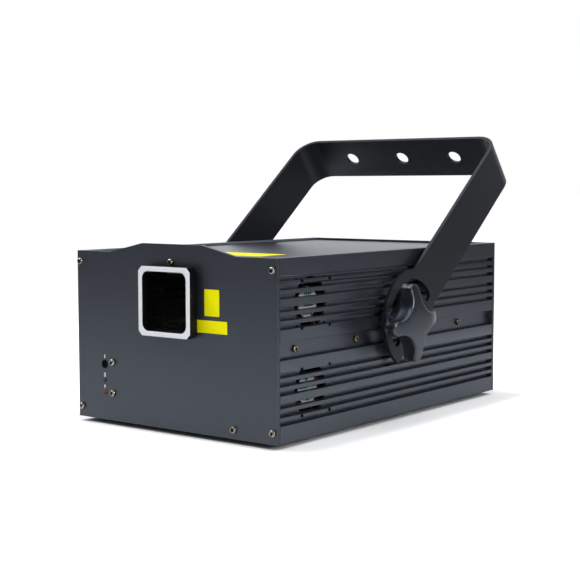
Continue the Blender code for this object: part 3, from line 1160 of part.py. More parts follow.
def mains(projector):
    """The mains inlet with its fuse drawer, and the rocker switch above it."""
    seat = REAR_FACE + GAP
    face = seat + FLANGE_THICKNESS
    flange = chamfered_rectangle((0, 0), *INLET_FLANGE, INLET_FLANGE[1] / 3)
    inlet = projector.add("mains_inlet", outline_mesh([flange], FLANGE_THICKNESS), "black_plastic",
                          moved(at(INLET_X, seat + FLANGE_THICKNESS / 2, INLET_HEIGHT), FACING_FRONT))
    head = screw_mesh(GAP)
    projector.join(inlet, repeated(head, [moved(at(INLET_X + side * INLET_SCREW_SPACING / 2, face, INLET_HEIGHT),
                                                TOWARDS_REAR) for side in (1, -1)]))
    half_w, half_t = INLET_BODY[0] / 2, INLET_BODY[1] / 2
    projector.join(inlet, box_mesh(at(INLET_X - half_w, seat - INLET_BODY_DEPTH, INLET_HEIGHT - half_t),
                                   at(INLET_X + half_w, seat + FLANGE_THICKNESS / 2, INLET_HEIGHT + half_t)))
    middle = INLET_HEIGHT + INLET_SOCKET_RISE
    socket = outline_mesh([chamfered_rectangle((0, 0), *INLET_SOCKET, INLET_SOCKET[1] / 5)],
                          2 * INLET_SOCKET_DEPTH)
    fuse_w, fuse_t = FUSE_SIZE
    fuse_z = INLET_HEIGHT - FUSE_DROP
    pocket = box_mesh(at(INLET_X - fuse_w / 2 - GAP, face - FUSE_DEPTH - GAP, fuse_z - fuse_t / 2 - GAP),
                      at(INLET_X + fuse_w / 2 + GAP, face + FUSE_DEPTH, fuse_z + fuse_t / 2 + GAP))
    sunk = moved(at(INLET_X, face, middle), FACING_FRONT)
    projector.cut(inlet, group_mesh([(socket, sunk), (pocket, UPRIGHT)]))
    pin_w, pin_t = INLET_PIN
    root = face - INLET_SOCKET_DEPTH
    pins = [box_mesh(at(INLET_X + dx - pin_w / 2, root - FLANGE_THICKNESS, middle + dz - pin_t / 2),
                     at(INLET_X + dx + pin_w / 2, face - FLANGE_THICKNESS, middle + dz + pin_t / 2))
            for dx, dz in ((-INLET_PIN_SPACING / 2, -INLET_PIN_DROP), (INLET_PIN_SPACING / 2, -INLET_PIN_DROP),
                           (0, INLET_EARTH_RISE))]
    projector.join(inlet, group_mesh([(pin, UPRIGHT) for pin in pins]))
    drawer = projector.add("fuse_drawer", box_mesh(
        at(INLET_X - fuse_w / 2, face - FUSE_DEPTH, fuse_z - fuse_t / 2),
        at(INLET_X + fuse_w / 2, face + FUSE_LIP, fuse_z + fuse_t / 2)), "black_plastic")
    projector.cut(drawer, box_mesh(at(INLET_X - fuse_w / 4, face, fuse_z),
                                   at(INLET_X + fuse_w / 4, face + 2 * FUSE_LIP, fuse_z + fuse_t)))
    place = moved(at(SWITCH_X, seat + FLANGE_THICKNESS / 2, SWITCH_HEIGHT), FACING_FRONT)
    body = projector.add("power_switch", outline_mesh([rectangle((0, 0), *SWITCH_FLANGE)], FLANGE_THICKNESS),
                         "black_plastic", place)
    half_w, half_t = SWITCH_BODY[0] / 2, SWITCH_BODY[1] / 2
    projector.join(body, box_mesh(at(SWITCH_X - half_w, seat - SWITCH_BODY_DEPTH, SWITCH_HEIGHT - half_t),
                                  at(SWITCH_X + half_w, seat + FLANGE_THICKNESS / 2, SWITCH_HEIGHT + half_t)))
    half_w, half_t = SWITCH_WELL[0] / 2, SWITCH_WELL[1] / 2
    projector.cut(body, box_mesh(at(SWITCH_X - half_w, face - SWITCH_WELL_DEPTH, SWITCH_HEIGHT - half_t),
                                 at(SWITCH_X + half_w, face + SWITCH_WELL_DEPTH, SWITCH_HEIGHT + half_t)))
    half = ROCKER_HALF_LENGTH
    root_half = ROCKER_ROOT_HALF_LENGTH
    outline = [(ROCKER_TIP, -half), (ROCKER_WAIST, 0), (ROCKER_TIP, half),
               (-ROCKER_ROOT, root_half), (-ROCKER_ROOT, -root_half)]
    pivot = at(SWITCH_X, seat, SWITCH_HEIGHT)
    axis = projector.axis("rocker_axis", pivot)
    projector.add("power_rocker", outline_mesh([outline], ROCKER_WIDTH), "black_plastic",
                  moved(pivot, Matrix.Rotation(ROCKER_TILT, 4, "X") @ FACING_SIDE), axis)


def key_lock(projector):
    """The lock that arms the lasers, with the key in its turning barrel."""
    seat = REAR_FACE + GAP
    face = seat + FLANGE_THICKNESS
    place = moved(at(KEY_X, 0, KEY_HEIGHT), TOWARDS_REAR)
    barrel_low = face - KEY_BARREL_DEPTH
    bore = KEY_BARREL_RADIUS + GAP
    projector.add("key_switch", turned_mesh(
        [(bore, face), (KEY_FLANGE_RADIUS, face), (KEY_FLANGE_RADIUS, seat), (KEY_BODY_RADIUS, seat),
         (KEY_BODY_RADIUS, seat - KEY_BODY_DEPTH), (0, seat - KEY_BODY_DEPTH), (0, barrel_low - GAP),
         (bore, barrel_low - GAP)], 20, closed=True), "bright_steel", place)
    axis = projector.axis("key_axis", at(KEY_X, REAR_FACE, KEY_HEIGHT))
    barrel = cylinder_mesh(KEY_BARREL_RADIUS, barrel_low, face, 20)
    key = projector.add("key", barrel, "bright_steel", place, axis)
    half = KEY_BOW_SIZE / 2
    centre = REAR_FACE + KEY_REACH - half
    bow = outline_mesh([rounded_rectangle((FRONT_Y + centre, 0), KEY_BOW_SIZE, KEY_BOW_SIZE, half / 2),
                        circle((FRONT_Y + centre, 0), KEY_BOW_HOLE, 12)], KEY_BOW_THICKNESS)
    projector.join(key, bow, moved((KEY_X, 0, BASE_Z + KEY_HEIGHT), FACING_SIDE))
    blade_t, blade_w = KEY_BLADE
    projector.join(key, box_mesh(at(KEY_X - blade_t / 2, face - KEY_BLADE_DEPTH, KEY_HEIGHT - blade_w / 2),
                                 at(KEY_X + blade_t / 2, centre - half / 2, KEY_HEIGHT + blade_w / 2)))


def control_sockets(projector):
    """The two round lighting-control sockets and the wide 25-way port."""
    seat = REAR_FACE + GAP
    face = seat + FLANGE_THICKNESS
    dx, dz = DMX_SCREW_OFFSET
    head = screw_mesh(GAP)
    for name, x in (("dmx_input", DMX_IN_X), ("dmx_output", DMX_OUT_X)):
        socket = projector.add(name, outline_mesh(
            [rounded_rectangle((0, 0), *DMX_FLANGE, DMX_FLANGE_CORNER, 3)], FLANGE_THICKNESS), "black_plastic",
                               moved(at(x, seat + FLANGE_THICKNESS / 2, DMX_HEIGHT), FACING_FRONT))
        along = moved(at(x, 0, DMX_HEIGHT), TOWARDS_REAR)
        body = cylinder_mesh(DMX_BODY_RADIUS, seat - DMX_BODY_DEPTH, seat + FLANGE_THICKNESS / 2, 22)
        projector.join(socket, body, along)
        projector.join(socket, repeated(head, [moved(at(x - dx, face, DMX_HEIGHT + dz), TOWARDS_REAR),
                                               moved(at(x + dx, face, DMX_HEIGHT - dz), TOWARDS_REAR)]))
        root = face - DMX_CAVITY_DEPTH
        turns = [Matrix.Rotation(angle, 4, "Z") for angle in DMX_PIN_ANGLES]
        if name == "dmx_input":
            projector.cut(socket, cylinder_mesh(DMX_CAVITY_RADIUS, root, face + DMX_CAVITY_DEPTH, 18), along)
            pin = cylinder_mesh(DMX_PIN_RADIUS, root - DMX_PIN_RADIUS, face - DMX_PIN_RADIUS, 8)
            projector.join(socket, repeated(pin, [along @ turn @ Matrix.Translation((DMX_PIN_CIRCLE, 0, 0))
                                                  for turn in turns]))
            continue
        hole = cylinder_mesh(DMX_PIN_RADIUS + GAP, root, face + DMX_CAVITY_DEPTH, 8)
        projector.cut(socket, repeated(hole, [along @ turn @ Matrix.Translation((DMX_PIN_CIRCLE, 0, 0))
                                              for turn in turns]))
    plate = CONTROL_PORT_FLANGE_THICKNESS
    port = projector.add("control_port", outline_mesh(
        [rounded_rectangle((0, 0), *CONTROL_PORT_FLANGE, CONTROL_PORT_CORNER, 2)], plate), "bright_steel",
                         moved(at(CONTROL_PORT_X, seat + plate / 2, CONTROL_PORT_HEIGHT), FACING_FRONT))
    body_w, body_t = CONTROL_PORT_BODY
    projector.join(port, box_mesh(at(CONTROL_PORT_X - body_w / 2, seat - CONTROL_PORT_BODY_DEPTH,
                                     CONTROL_PORT_HEIGHT - body_t / 2),
                                  at(CONTROL_PORT_X + body_w / 2, seat + plate / 2,
                                     CONTROL_PORT_HEIGHT + body_t / 2)))
    shell_w, shell_t = CONTROL_PORT_SHELL
    slope = CONTROL_PORT_SHELL_SLOPE
    shell = outline_mesh([[(-shell_w / 2 + slope, -shell_t / 2), (shell_w / 2 - slope, -shell_t / 2),
                           (shell_w / 2, shell_t / 2), (-shell_w / 2, shell_t / 2)]],
                         CONTROL_PORT_SHELL_PROUD + plate / 2)
    middle = at(CONTROL_PORT_X, seat + (3 * plate / 2 + CONTROL_PORT_SHELL_PROUD) / 2, CONTROL_PORT_HEIGHT)
    raised = [(shell, moved(middle, FACING_FRONT))]
    post = outline_mesh([hexagon((0, 0), CONTROL_PORT_POST_FLATS)], CONTROL_PORT_POST_PROUD + plate / 2)
    for side in (1, -1):
        place = at(CONTROL_PORT_X + side * CONTROL_PORT_POST_SPACING / 2,
                   seat + (3 * plate / 2 + CONTROL_PORT_POST_PROUD) / 2, CONTROL_PORT_HEIGHT)
        raised.append((post, moved(place, FACING_FRONT)))
    projector.join(port, group_mesh(raised))


def buttons(projector):
    """The four menu buttons, held by their collars behind the rear plate."""
    collar_top = HOUSING_DEPTH - END_PLATE - GAP
    cap = turned_mesh([(0, REAR_FACE + BUTTON_PROUD), (BUTTON_RADIUS, REAR_FACE + BUTTON_PROUD),
                       (BUTTON_RADIUS, collar_top), (BUTTON_COLLAR, collar_top),
                       (BUTTON_COLLAR, button_foot()), (0, button_foot())], 12)
    for index, x in enumerate(button_places(), start=1):
        projector.add(f"menu_button_{index}", cap.copy(), "black_plastic",
                      moved(at(x, 0, BUTTON_HEIGHT), TOWARDS_REAR))


def safety_eye(projector):
    """An eye bolt for the safety rope, through the rear plate."""
    seat = REAR_FACE + GAP
    inner = HOUSING_DEPTH - END_PLATE - EYE_BEHIND_PLATE
    collar = seat + EYE_COLLAR
    eye = projector.add("safety_eye", turned_mesh(
        [(0, collar), (EYE_COLLAR_RADIUS, collar), (EYE_COLLAR_RADIUS, seat), (EYE_SHANK_RADIUS, seat),
         (EYE_SHANK_RADIUS, inner), (0, inner)], 14), "bright_steel",
        moved(at(EYE_X, 0, EYE_HEIGHT), TOWARDS_REAR))
    centre = at(EYE_X, EYE_CENTRE_FROM_FRONT, EYE_HEIGHT)
    projector.join(eye, ring_wire_mesh(centre, EYE_RING_RADIUS, EYE_WIRE_RADIUS))


def main():
    """Builds the whole projector in an empty scene."""
    for obj in list(bpy.data.objects):
        bpy.data.objects.remove(obj)
    projector = Projector()
    front_plate(projector)
    rear_plate(projector)
    for name, side in SIDES:
        side_profile(projector, name, side)
    covers(projector)
    feet(projector)
    end_screws(projector)
    window(projector)
    indicators(projector)
    yoke(projector)
    arm_hardware(projector)
    for name, side in SIDES:
        clamp(projector, name, side)
    fans(projector)
    deck(projector)
    scanner(projector)
    lasers(projector)
    electronics(projector)
    mains(projector)
    key_lock(projector)
    control_sockets(projector)
    buttons(projector)
    safety_eye(projector)


main()
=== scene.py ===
"""The looks of a stage laser light projector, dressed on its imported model.

Sizes are in metres and +Z is up. A sub-assembly's places are given as on a drawing of the housing: x from its
middle, depth back from the front plate's outer face, and height up from the housing's lower edge.
"""

import json
import logging
import math
from collections.abc import Callable
from dataclasses import dataclass
from enum import Enum
from functools import cache

import bmesh
import bpy
import numpy as np
from mathutils import Matrix, Vector


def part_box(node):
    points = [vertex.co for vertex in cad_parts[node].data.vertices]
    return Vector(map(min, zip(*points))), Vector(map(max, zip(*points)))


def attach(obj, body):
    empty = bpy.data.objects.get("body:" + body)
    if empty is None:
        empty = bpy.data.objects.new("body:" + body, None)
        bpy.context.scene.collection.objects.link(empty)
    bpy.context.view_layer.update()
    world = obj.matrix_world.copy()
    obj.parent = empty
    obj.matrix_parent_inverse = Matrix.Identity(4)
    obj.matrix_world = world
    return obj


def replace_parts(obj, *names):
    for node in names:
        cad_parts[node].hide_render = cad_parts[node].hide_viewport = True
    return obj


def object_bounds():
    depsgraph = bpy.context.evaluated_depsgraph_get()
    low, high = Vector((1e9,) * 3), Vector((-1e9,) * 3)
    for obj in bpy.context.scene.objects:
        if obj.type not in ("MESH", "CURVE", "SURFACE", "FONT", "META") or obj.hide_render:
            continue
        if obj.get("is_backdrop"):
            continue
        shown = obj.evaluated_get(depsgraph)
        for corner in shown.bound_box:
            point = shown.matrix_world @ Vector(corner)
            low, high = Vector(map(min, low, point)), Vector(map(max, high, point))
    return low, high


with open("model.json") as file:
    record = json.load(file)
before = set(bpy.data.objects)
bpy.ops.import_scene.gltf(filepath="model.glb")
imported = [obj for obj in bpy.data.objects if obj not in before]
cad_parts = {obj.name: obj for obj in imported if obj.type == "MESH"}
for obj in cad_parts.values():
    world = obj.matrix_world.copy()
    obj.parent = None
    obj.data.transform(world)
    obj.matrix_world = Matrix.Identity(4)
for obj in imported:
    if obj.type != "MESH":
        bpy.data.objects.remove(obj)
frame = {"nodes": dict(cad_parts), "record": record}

LOG = logging.getLogger("laser_projector")
WELD = 1e-6  # points nearer than this are one point
HAIR = 0.00005  # how far a print stands off what it is on
CREASE = 30.0  # an edge bent by more degrees than this is sharp
FLAT = 0.5  # faces bent by fewer degrees than this are one face
HOUSING_DEPTH = 0.296  # from the front plate's outer face to the rear plate's
STICKER = 0.00012  # a sticker's thickness
Pair = tuple[float, float]
Colour = tuple[float, float, float]
Triple = tuple[float, float, float]
BLACK, WHITE, COOL = (0.0, 0.0, 0.0), (1.0, 1.0, 1.0), (0.76, 0.85, 1.0)
BODY_OF = {node: body for body, nodes in frame["record"]["behaviour"]["bodies"].items() for node in nodes}


class Facing(Enum):
    """The way a part's own +Z points once it is in place."""

    UP = Matrix.Identity(4)
    FRONT = Matrix.Rotation(math.radians(90), 4, "X")
    REAR = Matrix.Rotation(math.radians(180), 4, "Z") @ Matrix.Rotation(math.radians(90), 4, "X")
    RIGHT = Matrix(((0, 0, 1, 0), (1, 0, 0, 0), (0, 1, 0, 0), (0, 0, 0, 1)))
    LEFT = Matrix(((0, 0, -1, 0), (-1, 0, 0, 0), (0, 1, 0, 0), (0, 0, 0, 1)))

    @classmethod
    def side(cls, sign: int) -> "Facing":
        """The right for +1 and the left for -1."""
        return cls.RIGHT if sign > 0 else cls.LEFT

    def at(self, place: Vector) -> Matrix:
        """Turns a part this way and carries it to a place."""
        return Matrix.Translation(place) @ self.value


@dataclass(frozen=True)
class Drawing:
    """The housing's faces in the world, which turn a drawing's places into world places."""

    front: float
    rear: float
    base: float
    top: float
    side: float

    @classmethod
    def read(cls) -> "Drawing":
        """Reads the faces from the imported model's plates and side profile."""
        plate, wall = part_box("front_plate"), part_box("right_side_profile")
        return cls(plate[0][1], plate[0][1] + HOUSING_DEPTH, wall[0][2], wall[1][2], wall[1][0])

    @property
    def tall(self) -> float:
        """Height of the housing."""
        return self.top - self.base

    def at(self, x: float, depth: float, height: float) -> Vector:
        """World place of a point on the drawing."""
        return Vector((x, self.front + depth, self.base + height))

    def behind(self, x: float, height: float, out: float = 0.0) -> Vector:
        """World place of a point that stands out from the rear plate."""
        return Vector((x, self.rear + out, self.base + height))

    def on_front(self, x: float, height: float, depth: float = 0.0) -> Matrix:
        """Place for a part that faces forwards, at the front plate or behind it."""
        return Facing.FRONT.at(self.at(x, depth, height))

    def on_rear(self, x: float, height: float, out: float = 0.0) -> Matrix:
        """Place for a part that faces backwards, at the rear plate or standing out from it."""
        return Facing.REAR.at(self.behind(x, height, out))


def centre_of(node: str) -> Vector:
    """Middle of a solid's box."""
    low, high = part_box(node)
    return Vector([(start + end) / 2 for start, end in zip(low, high)])


def screwed(places: list[Matrix], step: float) -> list[Matrix]:
    """Places of a row of screws, each turned a step of radians further than the one before."""
    return [place @ Matrix.Rotation(step * i, 4, "Z") for i, place in enumerate(places)]


def math_operator(operation: str, reflected: bool = False) -> Callable:
    """Makes an operator's method.

    Args:
        operation: the Math node's operation.
        reflected: the number stands in front, so it goes into the node first.

    Returns:
        A method that adds the node and gives its result.
    """
    def method(self: "Expression", other: "Expression | float") -> "Expression":
        """Joins the two values with one Math node."""
        first, second = (other, self) if reflected else (self, other)
        return self.graph.node("ShaderNodeMath", {"operation": operation}, {0: first, 1: second})

    return method


class Expression:
    """A shader socket that joins in sums written with Python's own operators."""

    def __init__(self, graph: "Graph", socket: bpy.types.NodeSocket) -> None:
        """Wraps a socket of a graph."""
        self.graph = graph
        self.socket = socket

    __add__, __radd__ = math_operator("ADD"), math_operator("ADD", reflected=True)
    __sub__, __rsub__ = math_operator("SUBTRACT"), math_operator("SUBTRACT", reflected=True)
    __mul__, __rmul__ = math_operator("MULTIPLY"), math_operator("MULTIPLY", reflected=True)
    __truediv__, __rtruediv__ = math_operator("DIVIDE"), math_operator("DIVIDE", reflected=True)
    __lt__, __gt__ = math_operator("LESS_THAN"), math_operator("GREATER_THAN")
    most = math_operator("MAXIMUM")

    def __abs__(self) -> "Expression":
        """Size without its sign."""
        return self.graph.node("ShaderNodeMath", {"operation": "ABSOLUTE"}, {0: self})

    def towards(self, direction: Triple) -> "Expression":
        """Cosine of the angle between this vector and a direction of length one."""
        unit = self.graph.node("ShaderNodeVectorMath", {"operation": "NORMALIZE"}, {0: self})
        return self.graph.node("ShaderNodeVectorMath", {"operation": "DOT_PRODUCT"}, {0: unit, 1: direction},
                               output="Value")

    def repeated(self) -> "Expression":
        """What is left after the whole number below it."""
        return self.graph.node("ShaderNodeMath", {"operation": "FRACT"}, {0: self})

    def between(self, low: float, high: float) -> "Expression":
        """Zero at low, one at high, and a smooth step in between."""
        return self.graph.node("ShaderNodeMapRange", {"interpolation_type": "SMOOTHSTEP"},
                               {"Value": self, "From Min": low, "From Max": high})


class Graph:
    """The nodes of a material or a world, added one expression at a time."""

    def __init__(self, tree: bpy.types.NodeTree) -> None:
        """Adds to a node tree."""
        self.nodes, self.links = tree.nodes, tree.links

    def node(self, kind: str, settings: dict | None = None, inputs: dict | None = None,
             output: int | str = 0) -> Expression:
        """Adds any node.

        Args:
            kind: the node's type name.
            settings: its properties, which are set first.
            inputs: values or expressions by socket name or number.
            output: the socket that the expression stands for.

        Returns:
            The node's output as an expression.
        """
        node = self.nodes.new(kind)
        for name, value in (settings or {}).items():
            setattr(node, name, value)
        for key, value in (inputs or {}).items():
            self.feed(node.inputs[key], value)
        return Expression(self, node.outputs[output])

    def feed(self, socket: bpy.types.NodeSocket, value: "Expression | float | tuple") -> None:
        """Links an expression to a socket, or sets its number or colour.

        Args:
            socket: the input.
            value: an expression, a number, a colour or a vector.
        """
        if isinstance(value, Expression):
            self.links.new(value.socket, socket)
        elif socket.type == "RGBA":
            socket.default_value = (*value[:3], 1.0)
        else:
            socket.default_value = value

    def mixed(self, share: "Expression | float", first: "Expression | Colour",
              second: "Expression | Colour") -> Expression:
        """A colour that goes from the first to the second as the share goes from 0 to 1."""
        return self.node("ShaderNodeMix", {"data_type": "RGBA"}, {0: share, 6: first, 7: second}, output=2)

    def rays(self) -> tuple[Expression, Expression]:
        """One for what the lens sees directly, and one for what a reflection or a clear body shows.

        Returns:
            The two shares, each 0 or 1.
        """
        path = self.nodes.new("ShaderNodeLightPath").outputs
        seen, glossy, through = (Expression(self, path[f"Is {kind} Ray"]) for kind in
                                 ("Camera", "Glossy", "Transmission"))
        return seen, glossy.most(through)


class Surface(Graph):
    """A material's nodes, with the one Principled shader that they feed."""

    def __init__(self, name: str) -> None:
        """Starts a material that holds only its shader and its output.

        Args:
            name: the material's name.
        """
        self.material = bpy.data.materials.new(name)
        self.material.use_nodes = True
        super().__init__(self.material.node_tree)
        self.shader = self.nodes["Principled BSDF"]

    def place(self) -> Expression:
        """The point on the surface, in the object's own metres."""
        return self.node("ShaderNodeTexCoord", output="Object")

    def axes(self) -> tuple[Expression, Expression, Expression]:
        """The three coordinates of the point on the surface."""
        split = self.nodes.new("ShaderNodeSeparateXYZ")
        self.links.new(self.place().socket, split.inputs[0])
        return tuple(Expression(self, socket) for socket in split.outputs)

    def stretched(self, scale: Triple) -> Expression:
        """The point on the surface, scaled by its own factor along each axis."""
        return self.node("ShaderNodeMapping", inputs={"Vector": self.place(), "Scale": scale})

    def noise(self, scale: float, detail: float = 3.0, where: Expression | None = None) -> Expression:
        """Soft noise with a cell of one over scale, about 0 to 1."""
        return self.node("ShaderNodeTexNoise", inputs={
            "Vector": where or self.place(), "Scale": scale, "Detail": detail})

    def specks(self, scale: float) -> Expression:
        """Distance to the nearest of a set of scattered dots, in cells."""
        return self.node("ShaderNodeTexVoronoi", inputs={"Vector": self.place(), "Scale": scale})

    def bump(self, height: Expression, strength: float, depth: float) -> Expression:
        """A relief of the given depth in metres."""
        return self.node("ShaderNodeBump", inputs={"Height": height, "Strength": strength, "Distance": depth})

    def dress(self, **sockets: "Expression | float | Colour") -> bpy.types.Material:
        """Feeds the shader's sockets, with underscores for spaces, and returns the material."""
        for name, value in sockets.items():
            self.feed(self.shader.inputs[name.replace("_", " ")], value)
        return self.material


@dataclass(frozen=True)
class Finish:
    """A finish: its name, colour, roughness, how strongly it mirrors, the mirror's tint and the index."""

    name: str
    colour: Colour
    roughness: float
    shine: float = 0.5
    tint: Colour = WHITE
    index: float = 1.5

    @cache
    def material(self) -> bpy.types.Material:
        """Makes the finish's material once; later calls give the same one."""
        return self.made(Surface(self.name))

    def made(self, surface: Surface) -> bpy.types.Material:
        """A plain surface with faint clouding; finishes with more to show replace this."""
        cloud = surface.noise(60.0)
        return self.finished(surface, surface.mixed(cloud, self.colour, self.shade(1.12)),
                             self.drift(cloud, 0.04))

    def shade(self, factor: float) -> Colour:
        """The finish's colour, lighter or darker."""
        return tuple(factor * channel for channel in self.colour)

    def drift(self, share: Expression, spread: float) -> Expression:
        """Roughness from a spread below the finish's own to a spread above, as the share goes from 0 to 1."""
        return self.roughness - spread + 2 * spread * share

    def finished(self, surface: Surface, colour: Expression, roughness: Expression,
                 **others: "Expression | float | Colour") -> bpy.types.Material:
        """Feeds the shader with the colour, the roughness, the finish's mirroring and anything else."""
        return surface.dress(Base_Color=colour, Roughness=roughness, Specular_IOR_Level=self.shine,
                             Specular_Tint=self.tint, IOR=self.index, **others)


@dataclass(frozen=True)
class PowderCoat(Finish):
    """Baked powder paint: a fine pebbled skin with tiny lighter and darker grains."""

    grain: float = 1500.0
    depth: float = 0.00006

    def made(self, surface: Surface) -> bpy.types.Material:
        """Relief = fine noise plus half a coarser noise; the grains lighten the colour a little.

        Args:
            surface: the new material's nodes.

        Returns:
            The finished material.
        """
        fine, coarse = surface.noise(self.grain, 2.0), surface.noise(self.grain / 3.2, 2.0)
        cloud = surface.noise(14.0)
        grains = surface.mixed(fine * 0.75 + cloud * 0.25, self.shade(0.45), self.shade(1.6))
        return self.finished(surface, grains, self.drift(coarse, 0.06),
                             Normal=surface.bump(fine + coarse * 0.5, 0.35, self.depth))


@dataclass(frozen=True)
class BrushedAnodised(Finish):
    """Extruded aluminium, brushed lengthwise and anodised: long faint streaks along Y.

    Deeper than |x| = land and further than half from the middle height lie the grooves. They come in two
    groups above and two below the middle, a pitch apart from the offsets near and far on. Each has a painted
    shadow along its foot alone and painted light on its upper wall, which is far lighter than the land; foot
    and wall are the shades of this painted shadow and this painted light.
    """

    land: float = 0.0
    middle: float = 0.0
    half: float = 0.0
    pitch: float = 0.006
    near: float = 0.0162
    far: float = 0.0368
    # foot: shade of the painted shadow along a groove's foot; wall: painted light on its upper wall, twelve
    # times the land's colour
    foot: float = 0.3
    wall: float = 12.0

    def made(self, surface: Surface) -> bpy.types.Material:
        """Streaks are noise that is stretched along Y; they vary roughness, colour and relief.

        The rise in a groove is the pitch times the share of a pitch from its middle, turned over below the
        middle height.

        Args:
            surface: the new material's nodes.

        Returns:
            The finished material.
        """
        x, _, height = surface.axes()
        offset = abs(height - self.middle)
        groove = (abs(x) < self.land) * (offset > self.half)
        first = self.near + (self.far - self.near) * (offset > (self.near + 2 * self.pitch + self.far) / 2)
        share = ((offset - first) / self.pitch + 0.5).repeated() - 0.5
        rise = share * self.pitch * ((height > self.middle) * 2.0 - 1.0)
        # painted shadow along each groove's foot, painted light on its upper wall
        wall = surface.mixed(rise.between(-0.0008, -0.0001), self.shade(self.foot), self.shade(self.wall))
        streaks = surface.noise(1.0, 4.0, surface.stretched((2200.0, 14.0, 2200.0)))
        broad = surface.noise(1.0, 2.0, surface.stretched((260.0, 3.0, 260.0)))
        brushed = surface.mixed(streaks * 0.5 + broad * 0.5, self.shade(0.75), self.shade(1.3))
        return self.finished(surface, surface.mixed(groove, brushed, wall),
                             self.drift(streaks, 0.08) + 0.3 * groove,
                             Normal=surface.bump(streaks, 0.18, 0.00003))


@dataclass(frozen=True)
class MouldedPlastic(Finish):
    """Injection-moulded plastic: a faint spark-eroded texture and slightly uneven shine."""

    texture: float = 1100.0

    def made(self, surface: Surface) -> bpy.types.Material:
        """Relief is fine noise; shine drifts with a broad cloud."""
        fine, cloud = surface.noise(self.texture, 2.0), surface.noise(90.0)
        return self.finished(surface, surface.mixed(cloud, self.colour, self.shade(1.3)),
                             self.drift(cloud, 0.05), Normal=surface.bump(fine, 0.16, 0.00003))


@dataclass(frozen=True)
class Rubber(Finish):
    """Moulded rubber with a dusty bloom."""

    def made(self, surface: Surface) -> bpy.types.Material:
        """The bloom lightens the colour in patches.

        Args:
            surface: the new material's nodes.

        Returns:
            The finished material.
        """
        bloom = surface.noise(180.0, 4.0).between(0.45, 0.75)
        return self.finished(surface, surface.mixed(bloom, self.colour, self.shade(2.2)),
                             self.roughness - 0.1 * bloom,
                             Normal=surface.bump(surface.noise(900.0), 0.3, 0.00005))


@dataclass(frozen=True)
class Metal(Finish):
    """Bare or plated metal with fine scratches, and a second colour in patches."""

    patch: Colour | None = None
    streak: Triple = (900.0, 900.0, 60.0)
    cloud: float = 60.0

    def made(self, surface: Surface) -> bpy.types.Material:
        """Scratches are stretched noise; the second colour shows where a broad noise is high.

        Args:
            surface: the new material's nodes.

        Returns:
            The finished material.
        """
        scratches = surface.noise(1.0, 5.0, surface.stretched(self.streak))
        cloud = surface.noise(self.cloud, 2.0).between(0.42, 0.62)
        return self.finished(surface, surface.mixed(cloud, self.colour, self.patch or self.shade(0.85)),
                             self.drift(scratches, 0.08), Metallic=1.0,
                             Normal=surface.bump(scratches, 0.12, 0.00002))


@dataclass(frozen=True)
class TwoTone(Finish):
    """A black anodised part whose front face is left bright, split at a world Y."""

    bright: Colour = (0.97, 0.97, 0.99)
    brushed: float = 0.93
    split: float = 0.0

    def made(self, surface: Surface) -> bpy.types.Material:
        """The face's share is one in front of the split; its brushing goes down to the brushed shade.

        Args:
            surface: the new material's nodes.

        Returns:
            The finished material.
        """
        _, depth, _ = surface.axes()
        face = depth < self.split
        brushing = surface.noise(1.0, 4.0, surface.stretched((30.0, 30.0, 2600.0)))
        bright = surface.mixed(brushing, tuple(self.brushed * c for c in self.bright), self.bright)
        return self.finished(surface, surface.mixed(face, self.colour, bright),
                             self.roughness + 0.10 * brushing + 0.15 * face, Metallic=0.04 * face,
                             Normal=surface.bump(brushing, 0.10, 0.00002))


@dataclass(frozen=True)
class Glass(Finish):
    """Clear glass with a coating that mutes its reflections, which its low index stands for; its grey tint is
    painted shade that dims the housing's inside.
    """

    def made(self, surface: Surface) -> bpy.types.Material:
        """The coating leaves faint cloudy differences in shine; everything else is constant."""
        haze = surface.noise(70.0)
        return self.finished(surface, surface.mixed(haze, self.colour, self.shade(0.96)),
                             self.roughness + 0.01 * haze, Transmission_Weight=1.0)


@dataclass(frozen=True)
class Lamp(Finish):
    """A tinted lens with a lit core."""

    glow: Colour = (1.0, 0.05, 0.03)
    strength: float = 1.0

    def made(self, surface: Surface) -> bpy.types.Material:
        """The glow is mottled by noise so that the lens does not look flat.

        Args:
            surface: the new material's nodes.

        Returns:
            The finished material.
        """
        mottle = surface.noise(700.0)
        glow = surface.mixed(mottle, self.glow, tuple(0.5 * c for c in self.glow))
        return self.finished(surface, surface.mixed(mottle, self.colour, self.shade(0.7)),
                             self.roughness + 0.05 * mottle, Emission_Color=glow,
                             Emission_Strength=self.strength)


@dataclass(frozen=True)
class Board(Finish):
    """A green circuit board: tracks, pads and holes in a fine raster."""

    solder: Colour = (0.55, 0.50, 0.38)
    tracks: Pair = (260.0, 0.06)
    pads: Pair = (420.0, 0.22)

    def made(self, surface: Surface) -> bpy.types.Material:
        """Tracks are the thin edges between cells and pads are dots of tinned copper, each (scale, width).

        Args:
            surface: the new material's nodes.

        Returns:
            The finished material.
        """
        scale, width = self.tracks
        tracks = surface.node("ShaderNodeTexVoronoi", {"feature": "DISTANCE_TO_EDGE"},
                              {"Vector": surface.place(), "Scale": scale}) < width
        pads = surface.specks(self.pads[0]) < self.pads[1]
        green = surface.mixed(tracks, self.colour, self.shade(1.9))
        return self.finished(surface, surface.mixed(pads, green, self.solder), self.roughness - 0.15 * pads,
                             Metallic=0.7 * pads, Normal=surface.bump(tracks + pads, 0.3, 0.00004))


@dataclass(frozen=True)
class Row:
    """A row of printed blocks on a fan's label, as distances from the fan's middle along Y and Z."""

    height: float
    start: float
    end: float
    ink: Colour
    tall: float = 0.0026
    spacing: float = 0.0012
    share: float = 0.7


